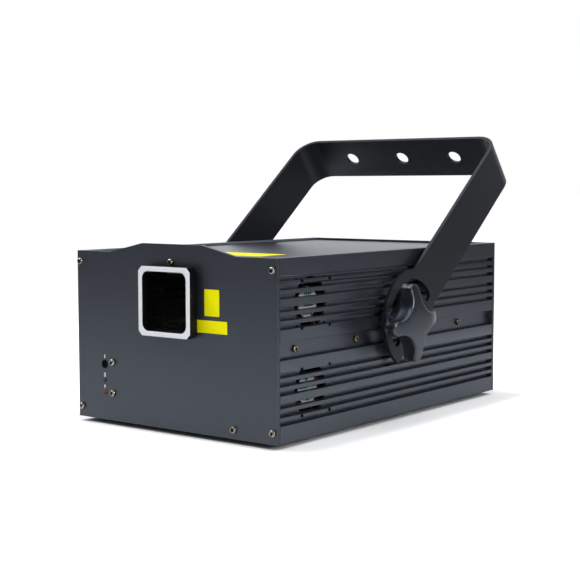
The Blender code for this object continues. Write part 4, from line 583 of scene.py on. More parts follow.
@dataclass(frozen=True)
class FanLabel(Finish):
    """A round silver label with rows of plain printed blocks."""

    middle: Pair = (0.0, 0.0)
    rows: tuple[Row, ...] = ()

    def made(self, surface: Surface) -> bpy.types.Material:
        """A point is inked in a row's band, between its ends and in the inked share of its spacing.

        Args:
            surface: the new material's nodes.

        Returns:
            The finished material.
        """
        _, depth, height = surface.axes()
        along, up = depth - self.middle[0], height - self.middle[1]
        foil = surface.noise(1.0, 4.0, surface.stretched((500.0, 60.0, 2400.0)))
        colour = surface.mixed(foil, self.colour, self.shade(0.85))
        for row in self.rows:
            half = (row.end - row.start) / 2
            band = (abs(up - row.height) < row.tall / 2) * (abs(along - (row.start + half)) < half)
            block = ((along + 1.0) / row.spacing).repeated() < row.share
            colour = surface.mixed(band * block, colour, row.ink)
        return self.finished(surface, colour, self.roughness + 0.1 * foil)


@dataclass(frozen=True)
class Paints:
    """Every finish of the projector, by the name of what it covers."""

    front: Finish = PowderCoat("charcoal_powder", (0.0105, 0.0112, 0.0140), 0.38, 1.0, COOL, 1.6)
    # the profile's grooves carry a painted shadow at the foot and painted light on the upper wall
    profile: Finish = BrushedAnodised("black_anodised_profile_painted_grooves", (0.0105, 0.0110, 0.0135), 0.33, 1.0, COOL,
                                      1.72, land=0.0920, middle=0.0660, half=0.0146)
    yoke: Finish = PowderCoat("satin_black_yoke", (0.0110, 0.0115, 0.0135), 0.40, 0.42, COOL, grain=2200.0,
                              depth=0.00003)
    # its colour, about three times the front's, is raised as painted light on the upward face
    top: Finish = PowderCoat("satin_top_sheet", (0.030, 0.0305, 0.034), 0.30, 1.0, COOL, grain=2600.0,
                             depth=0.00002)
    base: Finish = PowderCoat("black_base_sheet", (0.009, 0.009, 0.010), 0.50, 0.4)
    knob: Finish = MouldedPlastic("semi_gloss_knob", (0.0060, 0.0064, 0.0078), 0.31, 1.0, COOL, 1.6)
    plastic: Finish = MouldedPlastic("satin_black_plastic", (0.010, 0.010, 0.011), 0.42, 0.4)
    rubber: Finish = Rubber("moulded_rubber", (0.010, 0.010, 0.010), 0.80, 0.3)
    steel: Finish = Metal("bright_steel", (0.62, 0.61, 0.58), 0.26)
    screw: Finish = Metal("nickel_screw", (0.52, 0.48, 0.40), 0.24, patch=(0.26, 0.22, 0.15), cloud=420.0)
    tinted: Finish = Metal("zinc_tinted_screw", (0.10, 0.09, 0.06), 0.34, patch=(0.50, 0.42, 0.20),
                           cloud=420.0)
    # dark lining in each screw's socket: painted shade in the recess
    socket: Finish = Metal("screw_socket_painted_shade", (0.030, 0.027, 0.022), 0.50)
    blackened: Finish = Metal("black_oxide_steel", (0.045, 0.045, 0.048), 0.42, patch=(0.02, 0.02, 0.022))
    aluminium: Finish = Metal("machined_aluminium", (0.60, 0.61, 0.63), 0.36, streak=(40.0, 1600.0, 1600.0))
    case: Finish = BrushedAnodised("matt_black_optics", (0.006, 0.006, 0.007), 0.55, 0.25)
    gold: Finish = Metal("gilt_contact", (0.80, 0.58, 0.26), 0.28)
    mirror: Finish = Metal("coated_mirror", (0.92, 0.88, 0.70), 0.10, patch=(0.86, 0.84, 0.72))
    # the grey tint is painted shade that darkens what is seen through the window
    glass: Finish = Glass("coated_clear_glass", (0.66, 0.69, 0.69), 0.0, index=1.10)
    board: Finish = Board("green_board", (0.008, 0.085, 0.036), 0.45)
    yellow: Finish = Finish("yellow_sticker", (1.0, 0.93, 0.0), 0.55, 0.1)
    white: Finish = Finish("white_print", (0.88, 0.88, 0.88), 0.50)
    red_lead: Finish = Finish("red_lead", (0.50, 0.006, 0.006), 0.45)
    black_lead: Finish = Finish("black_lead", (0.012, 0.012, 0.012), 0.45)
    foam: Finish = Rubber("microphone_foam", (0.003, 0.003, 0.003), 0.95, 0.1)
    power_lamp: Finish = Lamp("power_lamp", (0.20, 0.010, 0.010), 0.20, glow=(0.40, 0.01, 0.01),
                              strength=0.12)
    sound_lamp: Finish = Lamp("sound_lamp", (0.02, 0.02, 0.022), 0.18, glow=(0.05, 0.05, 0.05), strength=0.05)
    lit_digit: Finish = Lamp("lit_digit", (0.60, 0.02, 0.01), 0.30, glow=(1.0, 0.05, 0.02), strength=1.6)
    dim_digit: Finish = Finish("unlit_digit", (0.05, 0.010, 0.010), 0.35)
    screen: Finish = Finish("display_screen", (0.016, 0.004, 0.004), 0.12)


PAINTS = Paints()
GREEN, INK = (0.006, 0.22, 0.060), (0.035, 0.035, 0.04)


class Skin:
    """Points and faces of a surface, kept as arrays until they go into a mesh."""

    def __init__(self, points: np.ndarray, quads: np.ndarray, caps: list[np.ndarray] | None = None) -> None:
        """Keeps (n, 3) points, (m, 4) faces and the many-cornered faces that close open ends."""
        self.points = np.asarray(points, dtype=float).reshape(-1, 3)
        self.quads = np.asarray(quads, dtype=int).reshape(-1, 4)
        self.caps = caps or []

    @classmethod
    def grid(cls, points: np.ndarray, ring_rows: bool = False, ring_columns: bool = False,
             capped: bool = False) -> "Skin":
        """Joins each point of a (rows, columns, 3) grid to its next neighbours.

        Args:
            points: the grid.
            ring_rows: the last row meets the first.
            ring_columns: the last column meets the first.
            capped: the first and last rows are filled in.

        Returns:
            The surface.
        """
        rows, columns = points.shape[:2]
        i, j = np.meshgrid(np.arange(rows if ring_rows else rows - 1),
                           np.arange(columns if ring_columns else columns - 1), indexing="ij")
        k, m = (i + 1) % rows, (j + 1) % columns
        quads = np.stack([i * columns + j, i * columns + m, k * columns + m, k * columns + j], axis=-1)
        caps = [np.arange(columns)[::-1], (rows - 1) * columns + np.arange(columns)] if capped else []
        return cls(points, quads, caps)

    @classmethod
    def together(cls, skins: list["Skin"]) -> "Skin":
        """Several surfaces as one, each with its point numbers moved up past those before it.

        Args:
            skins: the surfaces.

        Returns:
            One surface.
        """
        starts = np.cumsum([0] + [len(skin.points) for skin in skins])
        return cls(np.concatenate([skin.points for skin in skins]),
                   np.concatenate([skin.quads + start for skin, start in zip(skins, starts)]),
                   [cap + start for skin, start in zip(skins, starts) for cap in skin.caps])

    def placed(self, matrix: Matrix) -> "Skin":
        """The surface turned and carried by a matrix."""
        turn = np.array(matrix)
        return Skin(self.points @ turn[:3, :3].T + turn[:3, 3], self.quads, self.caps)

    def repeated(self, matrices: list[Matrix]) -> "Skin":
        """The surface at each of several places."""
        return Skin.together([self.placed(matrix) for matrix in matrices])

    def mesh(self, name: str, crease: float) -> bpy.types.Mesh:
        """Puts the surface in a mesh, welds it and marks edges sharper than the crease angle in degrees.

        Args:
            name: the mesh's name.
            crease: the angle in degrees.

        Returns:
            The mesh.
        """
        mesh = bpy.data.meshes.new(name)
        faces = [tuple(face) for face in self.quads.tolist()] + [tuple(cap.tolist()) for cap in self.caps]
        mesh.from_pydata(self.points, [], faces)
        form = bmesh.new()
        form.from_mesh(mesh)
        bmesh.ops.remove_doubles(form, verts=form.verts, dist=WELD)
        bmesh.ops.dissolve_degenerate(form, edges=form.edges, dist=WELD / 10)
        bmesh.ops.recalc_face_normals(form, faces=form.faces)
        form.to_mesh(mesh)
        form.free()
        mesh.shade_smooth()
        mesh.set_sharp_from_angle(angle=math.radians(crease))
        return mesh

    def piece(self, name: str, body: str, finish: Finish, slot: str,
              crease: float = 32.0) -> bpy.types.Object:
        """Makes a shown piece of the surface that moves with a body."""
        return shown(name, self.mesh(name, crease), body, finish)


def shown(name: str, mesh: bpy.types.Mesh, body: str, finish: Finish) -> bpy.types.Object:
    """Puts a mesh in the scene as a piece.

    Args:
        name: the piece's name.
        mesh: its mesh, with its place in it.
        body: the body it moves with.
        finish: what covers it.

    Returns:
        The piece.
    """
    piece = bpy.data.objects.new(name, mesh)
    bpy.context.scene.collection.objects.link(piece)
    mesh.materials.clear()
    mesh.materials.append(finish.material())
    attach(piece, body)
    LOG.info("%s on %s", name, body)
    return piece


def polar(radius: np.ndarray, angle: np.ndarray, height: np.ndarray) -> np.ndarray:
    """Points at (r cos t, r sin t, h)."""
    return np.stack([radius * np.cos(angle), radius * np.sin(angle), height], axis=-1)


def turned(profile: list[Pair], steps: int, hexed: tuple[int, ...] = ()) -> Skin:
    """A profile carried round Z: the point at angle t is (r cos t, r sin t, h).

    Args:
        profile: (radius, height) points from the axis to the axis.
        steps: points round the turn.
        hexed: numbers of the points whose ring is a hexagon, r being its corner.

    Returns:
        The closed surface.
    """
    angle = np.linspace(0, math.tau, steps, endpoint=False)
    radius = np.repeat(np.array(profile)[:, :1], steps, axis=1)
    height = np.repeat(np.array(profile)[:, 1:], steps, axis=1)
    sixth = math.pi / 3
    flat = math.cos(sixth / 2) / np.cos((angle % sixth) - sixth / 2)
    for row in hexed:
        radius[row] *= flat
    return Skin.grid(polar(radius, angle, height), ring_columns=True)


def corner_loop(width: float, height: float, corner: float, steps: int = 6,
                straight: bool = False) -> np.ndarray:
    """A rectangle's edge with each corner rounded or cut off, always with the same number of points.

    Corner k is the quarter arc (or its chord) turned by k right angles about the corner's own centre.

    Args:
        width: its size along X.
        height: its size along Y.
        corner: radius, or reach of the cut.
        steps: parts that a corner is divided into.
        straight: the corners are cut off instead of rounded.

    Returns:
        The edge as (x, y) points.
    """
    share = np.linspace(0, 1, steps + 1)
    arc = (np.stack([1 - share, share], axis=-1) if straight
           else np.stack([np.cos(share * math.pi / 2), np.sin(share * math.pi / 2)], axis=-1)) * corner
    loops = []
    for quarter, signs in enumerate(((1, 1), (-1, 1), (-1, -1), (1, -1))):
        c, s = round(math.cos(quarter * math.pi / 2)), round(math.sin(quarter * math.pi / 2))
        centre = np.array(signs) * (np.array([width, height]) / 2 - corner)
        loops.append(arc @ np.array([[c, s], [-s, c]]) + centre)
    return np.concatenate(loops)


def stacked(loops: list[tuple[np.ndarray, float]], ring_rows: bool = False) -> Skin:
    """Flat loops of equal count joined one above the next; the ends are filled unless the rows close."""
    grid = np.stack([np.column_stack([loop, np.full(len(loop), height)]) for loop, height in loops])
    return Skin.grid(grid, ring_rows=ring_rows, ring_columns=True, capped=not ring_rows)


def slab(width: float, height: float, corner: float, thickness: float, ease: float) -> Skin:
    """A plate on Z = 0 with rounded corners and an eased upper edge.

    Args:
        width: its size along X.
        height: its size along Y.
        corner: its corners' radius.
        thickness: its size along Z.
        ease: width of the eased edge.

    Returns:
        The closed plate.
    """
    loop = corner_loop(width, height, corner)
    return stacked([(loop, 0), (loop, thickness - ease),
                    (corner_loop(width - ease, height - ease, corner), thickness - ease / 4),
                    (corner_loop(width - 2 * ease, height - 2 * ease, corner), thickness)])


def tube(path: np.ndarray, radius: float, sides: int = 12) -> Skin:
    """A round section carried along a path: centre + r (cos t) side + r (sin t) up.

    Args:
        path: (n, 3) points.
        radius: the section's.
        sides: points round it.

    Returns:
        The closed surface.
    """
    ahead = np.gradient(path, axis=0)
    ahead /= np.linalg.norm(ahead, axis=1, keepdims=True)
    askew = np.array([1.0, 0.3, 0.2])  # a direction that no path here takes
    side = np.cross(ahead, askew)
    side /= np.linalg.norm(side, axis=1, keepdims=True)
    up = np.cross(side, ahead)
    angle = np.linspace(0, math.tau, sides, endpoint=False)[None, :, None]
    ring = path[:, None] + radius * (np.cos(angle) * side[:, None] + np.sin(angle) * up[:, None])
    return Skin.grid(ring, ring_columns=True, capped=True)


def numeral(text: str, height: float) -> bpy.types.Mesh:
    """A printed number, centred on the origin in XY, as a thin mesh.

    Args:
        text: what it says.
        height: of its digits.

    Returns:
        The mesh.
    """
    curve = bpy.data.curves.new("numeral", "FONT")
    stroke_growth = 0.05 * height
    curve.body, curve.size, curve.extrude, curve.offset = text, height, HAIR, stroke_growth
    curve.align_x, curve.align_y = "CENTER", "CENTER"
    holder = bpy.data.objects.new("numeral", curve)
    bpy.context.scene.collection.objects.link(holder)
    mesh = bpy.data.meshes.new_from_object(holder.evaluated_get(bpy.context.evaluated_depsgraph_get()))
    bpy.data.objects.remove(holder)
    return mesh


def printed(name: str, text: str, height: float, place: Matrix) -> None:
    """A number printed in white on the housing."""
    mesh = numeral(text, height)
    mesh.transform(place)
    shown(name, mesh, "housing", PAINTS.white)


def stuck(name: str, size: Pair, place: Matrix, finish: Finish, slot: str) -> None:
    """A plain sticker on the housing."""
    slab(*size, 0.0006, STICKER, STICKER / 3).placed(place).piece(name, "housing", finish, slot)


class Edges(Enum):
    """Which edges of a softened copy are eased."""

    ALL = "all"
    LENGTHWISE = "lengthwise"


def softened(node: str, finish: Finish, width: float, which: Edges = Edges.ALL, segments: int = 2,
             outside: float = 0.0) -> bpy.types.Object:
    """A welded copy of a node's solid with its edges eased, which stands for the node.

    Args:
        node: the solid.
        finish: what covers it.
        width: the easing's width.
        which: every sharp edge, or only those that run along Y.
        segments: facets across the easing.
        outside: leaves alone edges whose |x| is less than this.

    Returns:
        The copy.
    """
    form = bmesh.new()
    form.from_mesh(frame["nodes"][node].data)
    bmesh.ops.remove_doubles(form, verts=form.verts, dist=WELD)
    bmesh.ops.dissolve_limit(form, angle_limit=math.radians(FLAT), verts=form.verts, edges=form.edges)
    weight = form.edges.layers.float.new("bevel_weight_edge")
    for edge in form.edges:
        if len(edge.link_faces) != 2 or edge.calc_face_angle(0.0) < math.radians(CREASE):
            continue
        start, end = (vert.co for vert in edge.verts)
        along = abs(end.y - start.y) > 0.99 * edge.calc_length()
        if (which is Edges.ALL or along) and min(abs(start.x), abs(end.x)) >= outside:
            edge[weight] = 1.0
    mesh = bpy.data.meshes.new(f"{node}_eased")
    form.to_mesh(mesh)
    form.free()
    mesh.shade_smooth()
    mesh.set_sharp_from_angle(angle=math.radians(CREASE))
    piece = shown(f"{node}_eased", mesh, BODY_OF[node], finish)
    ease = piece.modifiers.new("Ease", "BEVEL")
    ease.width, ease.segments, ease.limit_method = width, segments, "WEIGHT"
    ease.harden_normals = True
    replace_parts(piece, node)
    return piece


def dress(finish: Finish, *nodes: str) -> None:
    """Gives solids that keep their own shape a finish."""
    for node in nodes:
        for slot in frame["nodes"][node].material_slots:
            slot.material = finish.material()


@dataclass(frozen=True)
class ScrewHead:
    """A button head with a hexagon socket, as a cap that fits over the solid's plain head."""

    radius: float = 0.00258
    height: float = 0.00168
    socket: float = 0.00142
    depth: float = 0.00080
    rim: float = 0.12
    crown: float = 1.22
    steps: int = 36

    def cap(self) -> Skin:
        """Turns a dome: radius falls from the rim to the crown as a quarter ellipse.

        The rim's height is a share of the head's, and the crown's radius a multiple of the socket's.

        Returns:
            The closed head.
        """
        rise, crown = np.linspace(0, 1, 7), self.socket * self.crown
        dome = [(crown + (self.radius - crown) * math.sqrt(1 - t * t),
                 self.height * (self.rim + (1 - self.rim) * t)) for t in rise]
        floor = self.height - self.depth
        profile = [(0, 0), (self.radius * 0.96, 0), *dome, (self.socket * 1.14, self.height),
                   (self.socket, self.height - 0.0001), (self.socket, floor), (0, floor - 0.0002)]
        return turned(profile, self.steps, hexed=(len(profile) - 3, len(profile) - 2))

    def lining(self) -> Skin:
        """The socket's painted shade: a dark hexagonal cup that lies a hair inside its walls and stands in
        for the shade in the recess.

        Returns:
            The closed cup.
        """
        floor, rim, inner = self.height - self.depth, self.height - 0.00025, self.socket - 0.00004
        profile = [(0, floor - 0.0001), (inner, floor), (inner, rim), (inner - 0.00006, rim),
                   (inner - 0.00008, floor + 0.0001), (0, floor + 0.00002)]
        return turned(profile, self.steps, hexed=(1, 2, 3, 4))

    def fitted(self, name: str, body: str, finish: Finish, places: list[Matrix]) -> None:
        """Puts a cap and its painted-shade lining at each place."""
        self.cap().repeated(places).piece(name, body, finish, "bright_steel")
        self.lining().repeated(places).piece(f"{name}_sockets", body, PAINTS.socket, "bright_steel")


@dataclass
class Fasteners:
    """Every visible screw head of the housing."""

    drawing: Drawing
    port_x: float = 0.0915
    corner_height: float = 0.008
    cover_drop: float = 0.0057
    base_screw: Pair = (0.0572, 0.0066)
    lamp_screws: tuple[Pair, ...] = ((-0.059, 0.0433), (-0.059, 0.0205))
    seat: float = 0.0003
    side_start: float = 0.0243
    side_spacing: float = 0.0725
    side_count: int = 4
    channel_depth: float = 0.0043
    steps: Triple = (1.3, 0.9, 0.7)

    def build(self) -> None:
        """Caps the front, rear and side channel heads; each step turns a head further than its neighbour."""
        tall = self.drawing.tall
        front_step, rear_step, side_step = self.steps
        corners = [(sign * self.port_x, height) for sign in (1, -1)
                   for height in (self.corner_height, tall - self.corner_height)]
        fronts = corners + [(0.0, tall - self.cover_drop), self.base_screw, *self.lamp_screws]
        head = ScrewHead()
        head.fitted("front_screw_heads", "housing", PAINTS.screw,
                    screwed([self.drawing.on_front(x, z, -self.seat) for x, z in fronts], front_step))
        head.fitted("rear_screw_heads", "housing", PAINTS.screw,
                    screwed([self.drawing.on_rear(x, z) for x, z in corners], rear_step))
        dress(PAINTS.screw, *(node for node in BODY_OF if node.endswith("_screw")))
        for name, sign in (("right", 1), ("left", -1)):
            x = sign * (self.drawing.side - self.channel_depth + self.seat)
            depths = [self.side_start + i * self.side_spacing for i in range(self.side_count)]
            places = [Facing.side(sign).at(self.drawing.at(x, depth, tall / 2)) for depth in depths]
            head.fitted(f"{name}_channel_screw_heads", "housing", PAINTS.tinted, screwed(places, side_step))


@dataclass
class Housing:
    """Front and rear plates, side profiles, covers and feet."""

    drawing: Drawing
    plate_ease: float = 0.0004
    rib_ease: float = 0.00035
    foot_radius: float = 0.010
    foot_show: float = 0.0035
    foot_sunk: float = 0.0012

    def build(self) -> None:
        """Eases the plates' and ribs' edges and turns the feet."""
        softened("front_plate", PAINTS.front, self.plate_ease)
        softened("rear_plate", PAINTS.front, self.plate_ease)
        for side in ("right", "left"):
            softened(f"{side}_side_profile", PAINTS.profile, self.rib_ease, Edges.LENGTHWISE,
                     outside=self.drawing.side - self.rib_ease)
        softened("top_cover", PAINTS.top, self.plate_ease / 2)
        dress(PAINTS.base, "base_plate")
        for node in ("front_right_foot", "rear_right_foot", "front_left_foot", "rear_left_foot"):
            self.foot(node)

    def foot(self, node: str) -> None:
        """A rubber foot with a rounded tread, a waist line and its push-in stem.

        Args:
            node: the foot's solid.
        """
        centre, stem_top = centre_of(node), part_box(node)[1][2]
        radius, top = self.foot_radius, self.foot_show + self.foot_sunk
        profile = [(0, 0.0004), (radius * 0.45, 0.0004), (radius * 0.5, 0), (radius * 0.82, 0),
                   (radius * 0.89, 0.0004), (radius * 0.925, 0.0012), (radius * 0.985, top - 0.0006),
                   (radius * 0.97, top - 0.0001), (radius * 0.9, top), (0.003, top), (0.003, top + 0.0022),
                   (0.0041, top + 0.0026), (0.0018, stem_top - 0.0001), (0, stem_top)]
        foot = turned(profile, 48).placed(Matrix.Translation((centre.x, centre.y, 0)))
        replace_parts(foot.piece(f"{node}_turned", "housing", PAINTS.rubber, "foot_rubber", 40.0), node)


@dataclass
class LightWindow:
    """The bezel that stands proud of the front plate, and its glass."""

    drawing: Drawing
    from_top: float = 0.0334
    width: float = 0.049
    tall: float = 0.0495
    proud: float = 0.008
    cut: float = 0.0032
    rim: float = 0.0035
    inner_corner: float = 0.0055
    ease: float = 0.00035
    glass_seat: float = 0.0021
    ledge: float = 0.002
    back: float = 0.0003
    steps: int = 8

    def build(self) -> None:
        """Joins loops from the outer wall's rear, over the face, to the inner wall's rear."""
        w, h, e = self.width, self.tall, self.ease
        iw, ih, corner = w - 2 * self.rim, h - 2 * self.rim, self.inner_corner
        back, face, seat, ledge = self.back, self.proud, self.glass_seat, self.ledge

        def outer(inset: float) -> np.ndarray:
            """The outer edge with straight-cut corners, moved in."""
            return corner_loop(w - 2 * inset, h - 2 * inset, self.cut, self.steps, straight=True)

        def inner(outset: float) -> np.ndarray:
            """The clear opening's rounded edge, moved out."""
            return corner_loop(iw + 2 * outset, ih + 2 * outset, corner + outset, self.steps)

        skin = stacked([(outer(0), back), (outer(0), face - e), (outer(e * 0.3), face - e * 0.3),
                        (outer(e), face), (inner(e), face), (inner(e * 0.3), face - e * 0.3),
                        (inner(0), face - e), (inner(0), seat), (inner(ledge), seat), (inner(ledge), back)],
                       ring_rows=True)
        place = self.drawing.on_front(0, self.drawing.tall - self.from_top)
        split = self.drawing.front - self.proud + self.ease * 1.2
        finish = TwoTone("silver_faced_bezel", (0.003, 0.003, 0.004), 0.30, 0.25, COOL, split=split)
        piece = skin.placed(place).piece("aperture_bezel_turned_out", "housing", finish, "silver_rim", 28.0)
        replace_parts(piece, "aperture_bezel")
        dress(PAINTS.glass, "aperture_glass")


@dataclass
class FrontDetails:
    """Microphone, lamps, their numbers and the plain stickers on the front and the top."""

    drawing: Drawing
    column: float = -0.0674
    microphone: Pair = (0.0415, 0.0030)
    lamps: Pair = (0.0293, 0.0199)
    lamp_radius: float = 0.00148
    numbers: tuple[float, float, float] = (0.0470, 0.0334, 0.0243)
    number_size: float = 0.0037
    sticker_x: float = 0.0380
    sticker_heights: Pair = (0.0925, 0.0758)
    sticker_sizes: tuple[Pair, ...] = ((0.0135, 0.0185), (0.0275, 0.0088))
    top_sticker: Pair = (0.022, 0.054)
    top_sticker_size: Pair = (0.053, 0.032)
    strip_width: float = 0.0068
    strip_offset: float = 0.0036

    def build(self) -> None:
        """Makes each detail in turn."""
        height, radius = self.microphone
        foam = turned([(0, -0.001), (radius, -0.001), (radius, -0.0002), (radius * 0.8, 0.0001),
                       (radius * 0.5, -0.0004), (0, -0.0009)], 32)
        foam.placed(self.drawing.on_front(self.column, height)).piece(
            "microphone_foam", "housing", PAINTS.foam, "board")
        lens = self.lens()
        for name, level, finish in (("sound_lamp", self.lamps[0], PAINTS.sound_lamp),
                                    ("power_lamp", self.lamps[1], PAINTS.power_lamp)):
            lens.placed(self.drawing.on_front(self.column, level)).piece(name, "housing", finish, "board")
        for number, level in enumerate(self.numbers, start=1):
            printed(f"front_number_{number}", str(number), self.number_size,
                    self.drawing.on_front(self.column, level, -HAIR))
        for i, (level, size) in enumerate(zip(self.sticker_heights, self.sticker_sizes), start=1):
            stuck(f"front_sticker_{i}", size, self.drawing.on_front(self.sticker_x, level), PAINTS.yellow,
                  "powder_coat")
        self.top_stickers()

    def lens(self) -> Skin:
        """A lamp's lens: height falls from its tip to its rim as a quarter circle."""
        angle = np.linspace(0, math.pi / 2, 7)
        dome = [(self.lamp_radius * math.sin(a), 0.0002 + 0.0009 * math.cos(a)) for a in angle]
        return turned([*dome, (self.lamp_radius, -0.001), (0, -0.001)], 24)

    def top_stickers(self) -> None:
        """A plain yellow sticker on the cover, with a white strip along its left edge."""
        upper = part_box("top_cover")[1][2]
        (x, depth), (width, length) = self.top_sticker, self.top_sticker_size
        for name, middle, wide, finish in (
                ("top_sticker", x, width, PAINTS.yellow),
                ("top_sticker_strip", x - width / 2 - self.strip_offset, self.strip_width, PAINTS.white)):
            place = Facing.UP.at(Vector((middle, self.drawing.front + depth, upper)))
            stuck(name, (wide, length), place, finish, "top_sheet")


@dataclass
class Yoke:
    """The bent bar, the pivot bolts, the spacers and the washers."""

    ease: float = 0.0005
    cap_depth: float = 0.0035

    def build(self) -> None:
        """Eases the bar's edges and caps the pivot bolts."""
        softened("yoke_bracket", PAINTS.yoke, self.ease, segments=3)
        head = ScrewHead(radius=0.0056, height=0.0036, socket=0.0024, depth=0.0017)
        for name, sign in (("right", 1), ("left", -1)):
            low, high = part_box(f"{name}_pivot_bolt")
            place = centre_of(f"{name}_pivot_bolt")
            place.x = (high if sign > 0 else low)[0] - sign * self.cap_depth
            head.fitted(f"{name}_pivot_cap", "housing", PAINTS.blackened, [Facing.side(sign).at(place)])
            dress(PAINTS.blackened, f"{name}_pivot_bolt")
            dress(PAINTS.plastic, f"{name}_arm_spacer")
            dress(PAINTS.steel, f"{name}_clamp_washer")


@dataclass
class StarKnob:
    """A four-lobed knob on its threaded stud."""

    side: int
    tip: float = 0.029
    valley: float = 0.0145
    curve: float = 0.017
    corner: float = 0.0048
    lobes: int = 4
    turn: float = math.radians(6.0)
    thickness: float = 0.0092
    dome: float = 0.0038
    edge: float = 0.0015
    waist: float = 0.0004
    hub_radius: float = 0.0115
    hub_height: float = 0.0078
    stud_radius: float = 0.0039
    thread: float = 0.00125
    thread_depth: float = 0.0006
    thread_sides: int = 40

    @property
    def name(self) -> str:
        """The body and node that this knob stands for."""
        return "right_knob" if self.side > 0 else "left_knob"

    def outline(self, count: int = 46) -> np.ndarray:
        """The star's edge: in each half lobe the tip's arc, its corner's and the valley's, evenly divided.

        The corner's circle touches the tip's from inside and the valley's from outside, so its heading is
        half the lobe spacing less the angle that the cosine rule gives for the triangle of the three centres.

        Args:
            count: points in a half lobe.

        Returns:
            The closed edge without its first point repeated.
        """
        half = math.pi / self.lobes
        distance, reach, apart = self.valley + self.curve, self.tip - self.corner, self.curve + self.corner
        heading = half - math.acos((reach ** 2 + distance ** 2 - apart ** 2) / (2 * reach * distance))
        centre = reach * np.array([math.cos(heading), math.sin(heading)])
        hollow = distance * np.array([math.cos(half), math.sin(half)])
        meeting = math.atan2(hollow[1] - centre[1], hollow[0] - centre[0])
        arcs = ((np.zeros(2), self.tip, 0.0, heading), (centre, self.corner, heading, meeting),
                (hollow, self.curve, meeting - math.pi, half - math.pi))
        path = np.concatenate([middle + radius * np.stack([np.cos(turn), np.sin(turn)], axis=-1)
                               for middle, radius, start, end in arcs
                               for turn in [np.linspace(start, end, 60)]])
        travel = np.concatenate([[0.0], np.cumsum(np.linalg.norm(np.diff(path, axis=0), axis=1))])
        even = np.linspace(0, travel[-1], count)
        side = np.stack([np.interp(even, travel, path[:, axis]) for axis in (0, 1)], axis=-1)[:-1]
        lobe = np.concatenate([side[:0:-1] * (1, -1), side])
        closing = np.interp(travel[-1], travel, path[:, 0]), -np.interp(travel[-1], travel, path[:, 1])
        lobe = np.concatenate([[closing], lobe])
        turns = self.turn + 2 * half * np.arange(self.lobes)
        c, s = np.cos(turns)[:, None], np.sin(turns)[:, None]
        x, y = lobe[:, 0], lobe[:, 1]
        return np.stack([c * x - s * y, s * x + c * y], axis=-1).reshape(-1, 2)

    def crown(self, loop: np.ndarray) -> np.ndarray:
        """Height of the domed face: thickness + dome (1 - (r / tip) cubed)."""
        return self.thickness + self.dome * (1 - (np.linalg.norm(loop, axis=1) / self.tip) ** 3)

    def inset(self, loop: np.ndarray, distance: float) -> np.ndarray:
        """The loop moved in square to itself."""
        ahead = np.roll(loop, -1, axis=0) - np.roll(loop, 1, axis=0)
        ahead /= np.linalg.norm(ahead, axis=1, keepdims=True)
        return loop - distance * np.stack([ahead[:, 1], -ahead[:, 0]], axis=-1)

    def star(self) -> Skin:
        """Rows go out over the back, up the walls, round both edges and over the dome to its middle.

        Returns:
            The closed star.
        """
        loop, quarter = self.outline(), np.linspace(0, math.pi / 2, 6)
        rows = [(self.inset(loop, self.edge) * share, np.zeros(len(loop))) for share in (0.01, 0.3)]
        rows += [(self.inset(loop, self.edge * (1 - math.sin(a))),
                  np.full(len(loop), self.edge * (1 - math.cos(a)))) for a in quarter]
        rows += [(self.inset(loop, self.waist * math.sin(math.pi * share)),
                  share * (self.crown(loop) - self.edge)) for share in (0.3, 0.5, 0.7)]
        rows += [(edge, self.crown(edge) - self.edge * (1 - math.sin(a)))
                 for a in quarter for edge in [self.inset(loop, self.edge * (1 - math.cos(a)))]]
        face = self.inset(loop, self.edge)
        rows += [(face * share, self.crown(face * share)) for share in np.linspace(0.95, 0.01, 24)]
        return Skin.grid(np.stack([np.column_stack(row) for row in rows]), ring_columns=True, capped=True)

    def threaded_stud(self, low: float, high: float) -> Skin:
        """A rod whose radius falls by a triangle wave of (height / pitch - angle / turn).

        Args:
            low: height of its lower end.
            high: height of its upper end.

        Returns:
            The closed rod.
        """
        angle = np.linspace(0, math.tau, self.thread_sides, endpoint=False)
        height = np.linspace(low, high, max(8, int((high - low) / self.thread * 8)))
        wave = np.abs(((height[:, None] / self.thread - angle[None] / math.tau) % 1.0) * 2 - 1)
        fade = np.clip(np.minimum(height - low, high - height) / self.thread, 0, 1)[:, None]
        radius = self.stud_radius - self.thread_depth * wave * fade
        levels = np.repeat(height[:, None], self.thread_sides, axis=1)
        return Skin.grid(polar(radius, angle, levels), ring_columns=True, capped=True)

    def build(self) -> None:
        """Places the star and its hub, and the stud behind them."""
        low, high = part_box(self.name)
        outer, inner = (high[0], low[0]) if self.side > 0 else (low[0], high[0])
        lobe_start = outer - self.side * (self.thickness + self.dome)
        place = Facing.side(self.side).at(Vector((lobe_start, *centre_of(self.name).yz)))
        if self.side < 0:
            place = place @ Matrix.Rotation(math.pi - 2 * self.turn, 4, "Z")
        hub = turned([(0, 0.001), (self.hub_radius + 0.0012, 0.001), (self.hub_radius + 0.0004, -0.0006),
                      (self.hub_radius, -0.0016), (self.hub_radius, 0.0006 - self.hub_height),
                      (self.hub_radius - 0.0006, -self.hub_height), (0, -self.hub_height)], 48)
        star = Skin.together([self.star(), hub]).placed(place)
        piece = star.piece(f"{self.name}_star", self.name, PAINTS.knob, "knob_plastic", 50.0)
        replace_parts(piece, self.name)
        reach = abs(lobe_start) - abs(inner)
        self.threaded_stud(-reach, -self.hub_height + 0.0005).placed(place).piece(
            f"{self.name}_stud", self.name, PAINTS.steel, "bright_steel", 60.0)


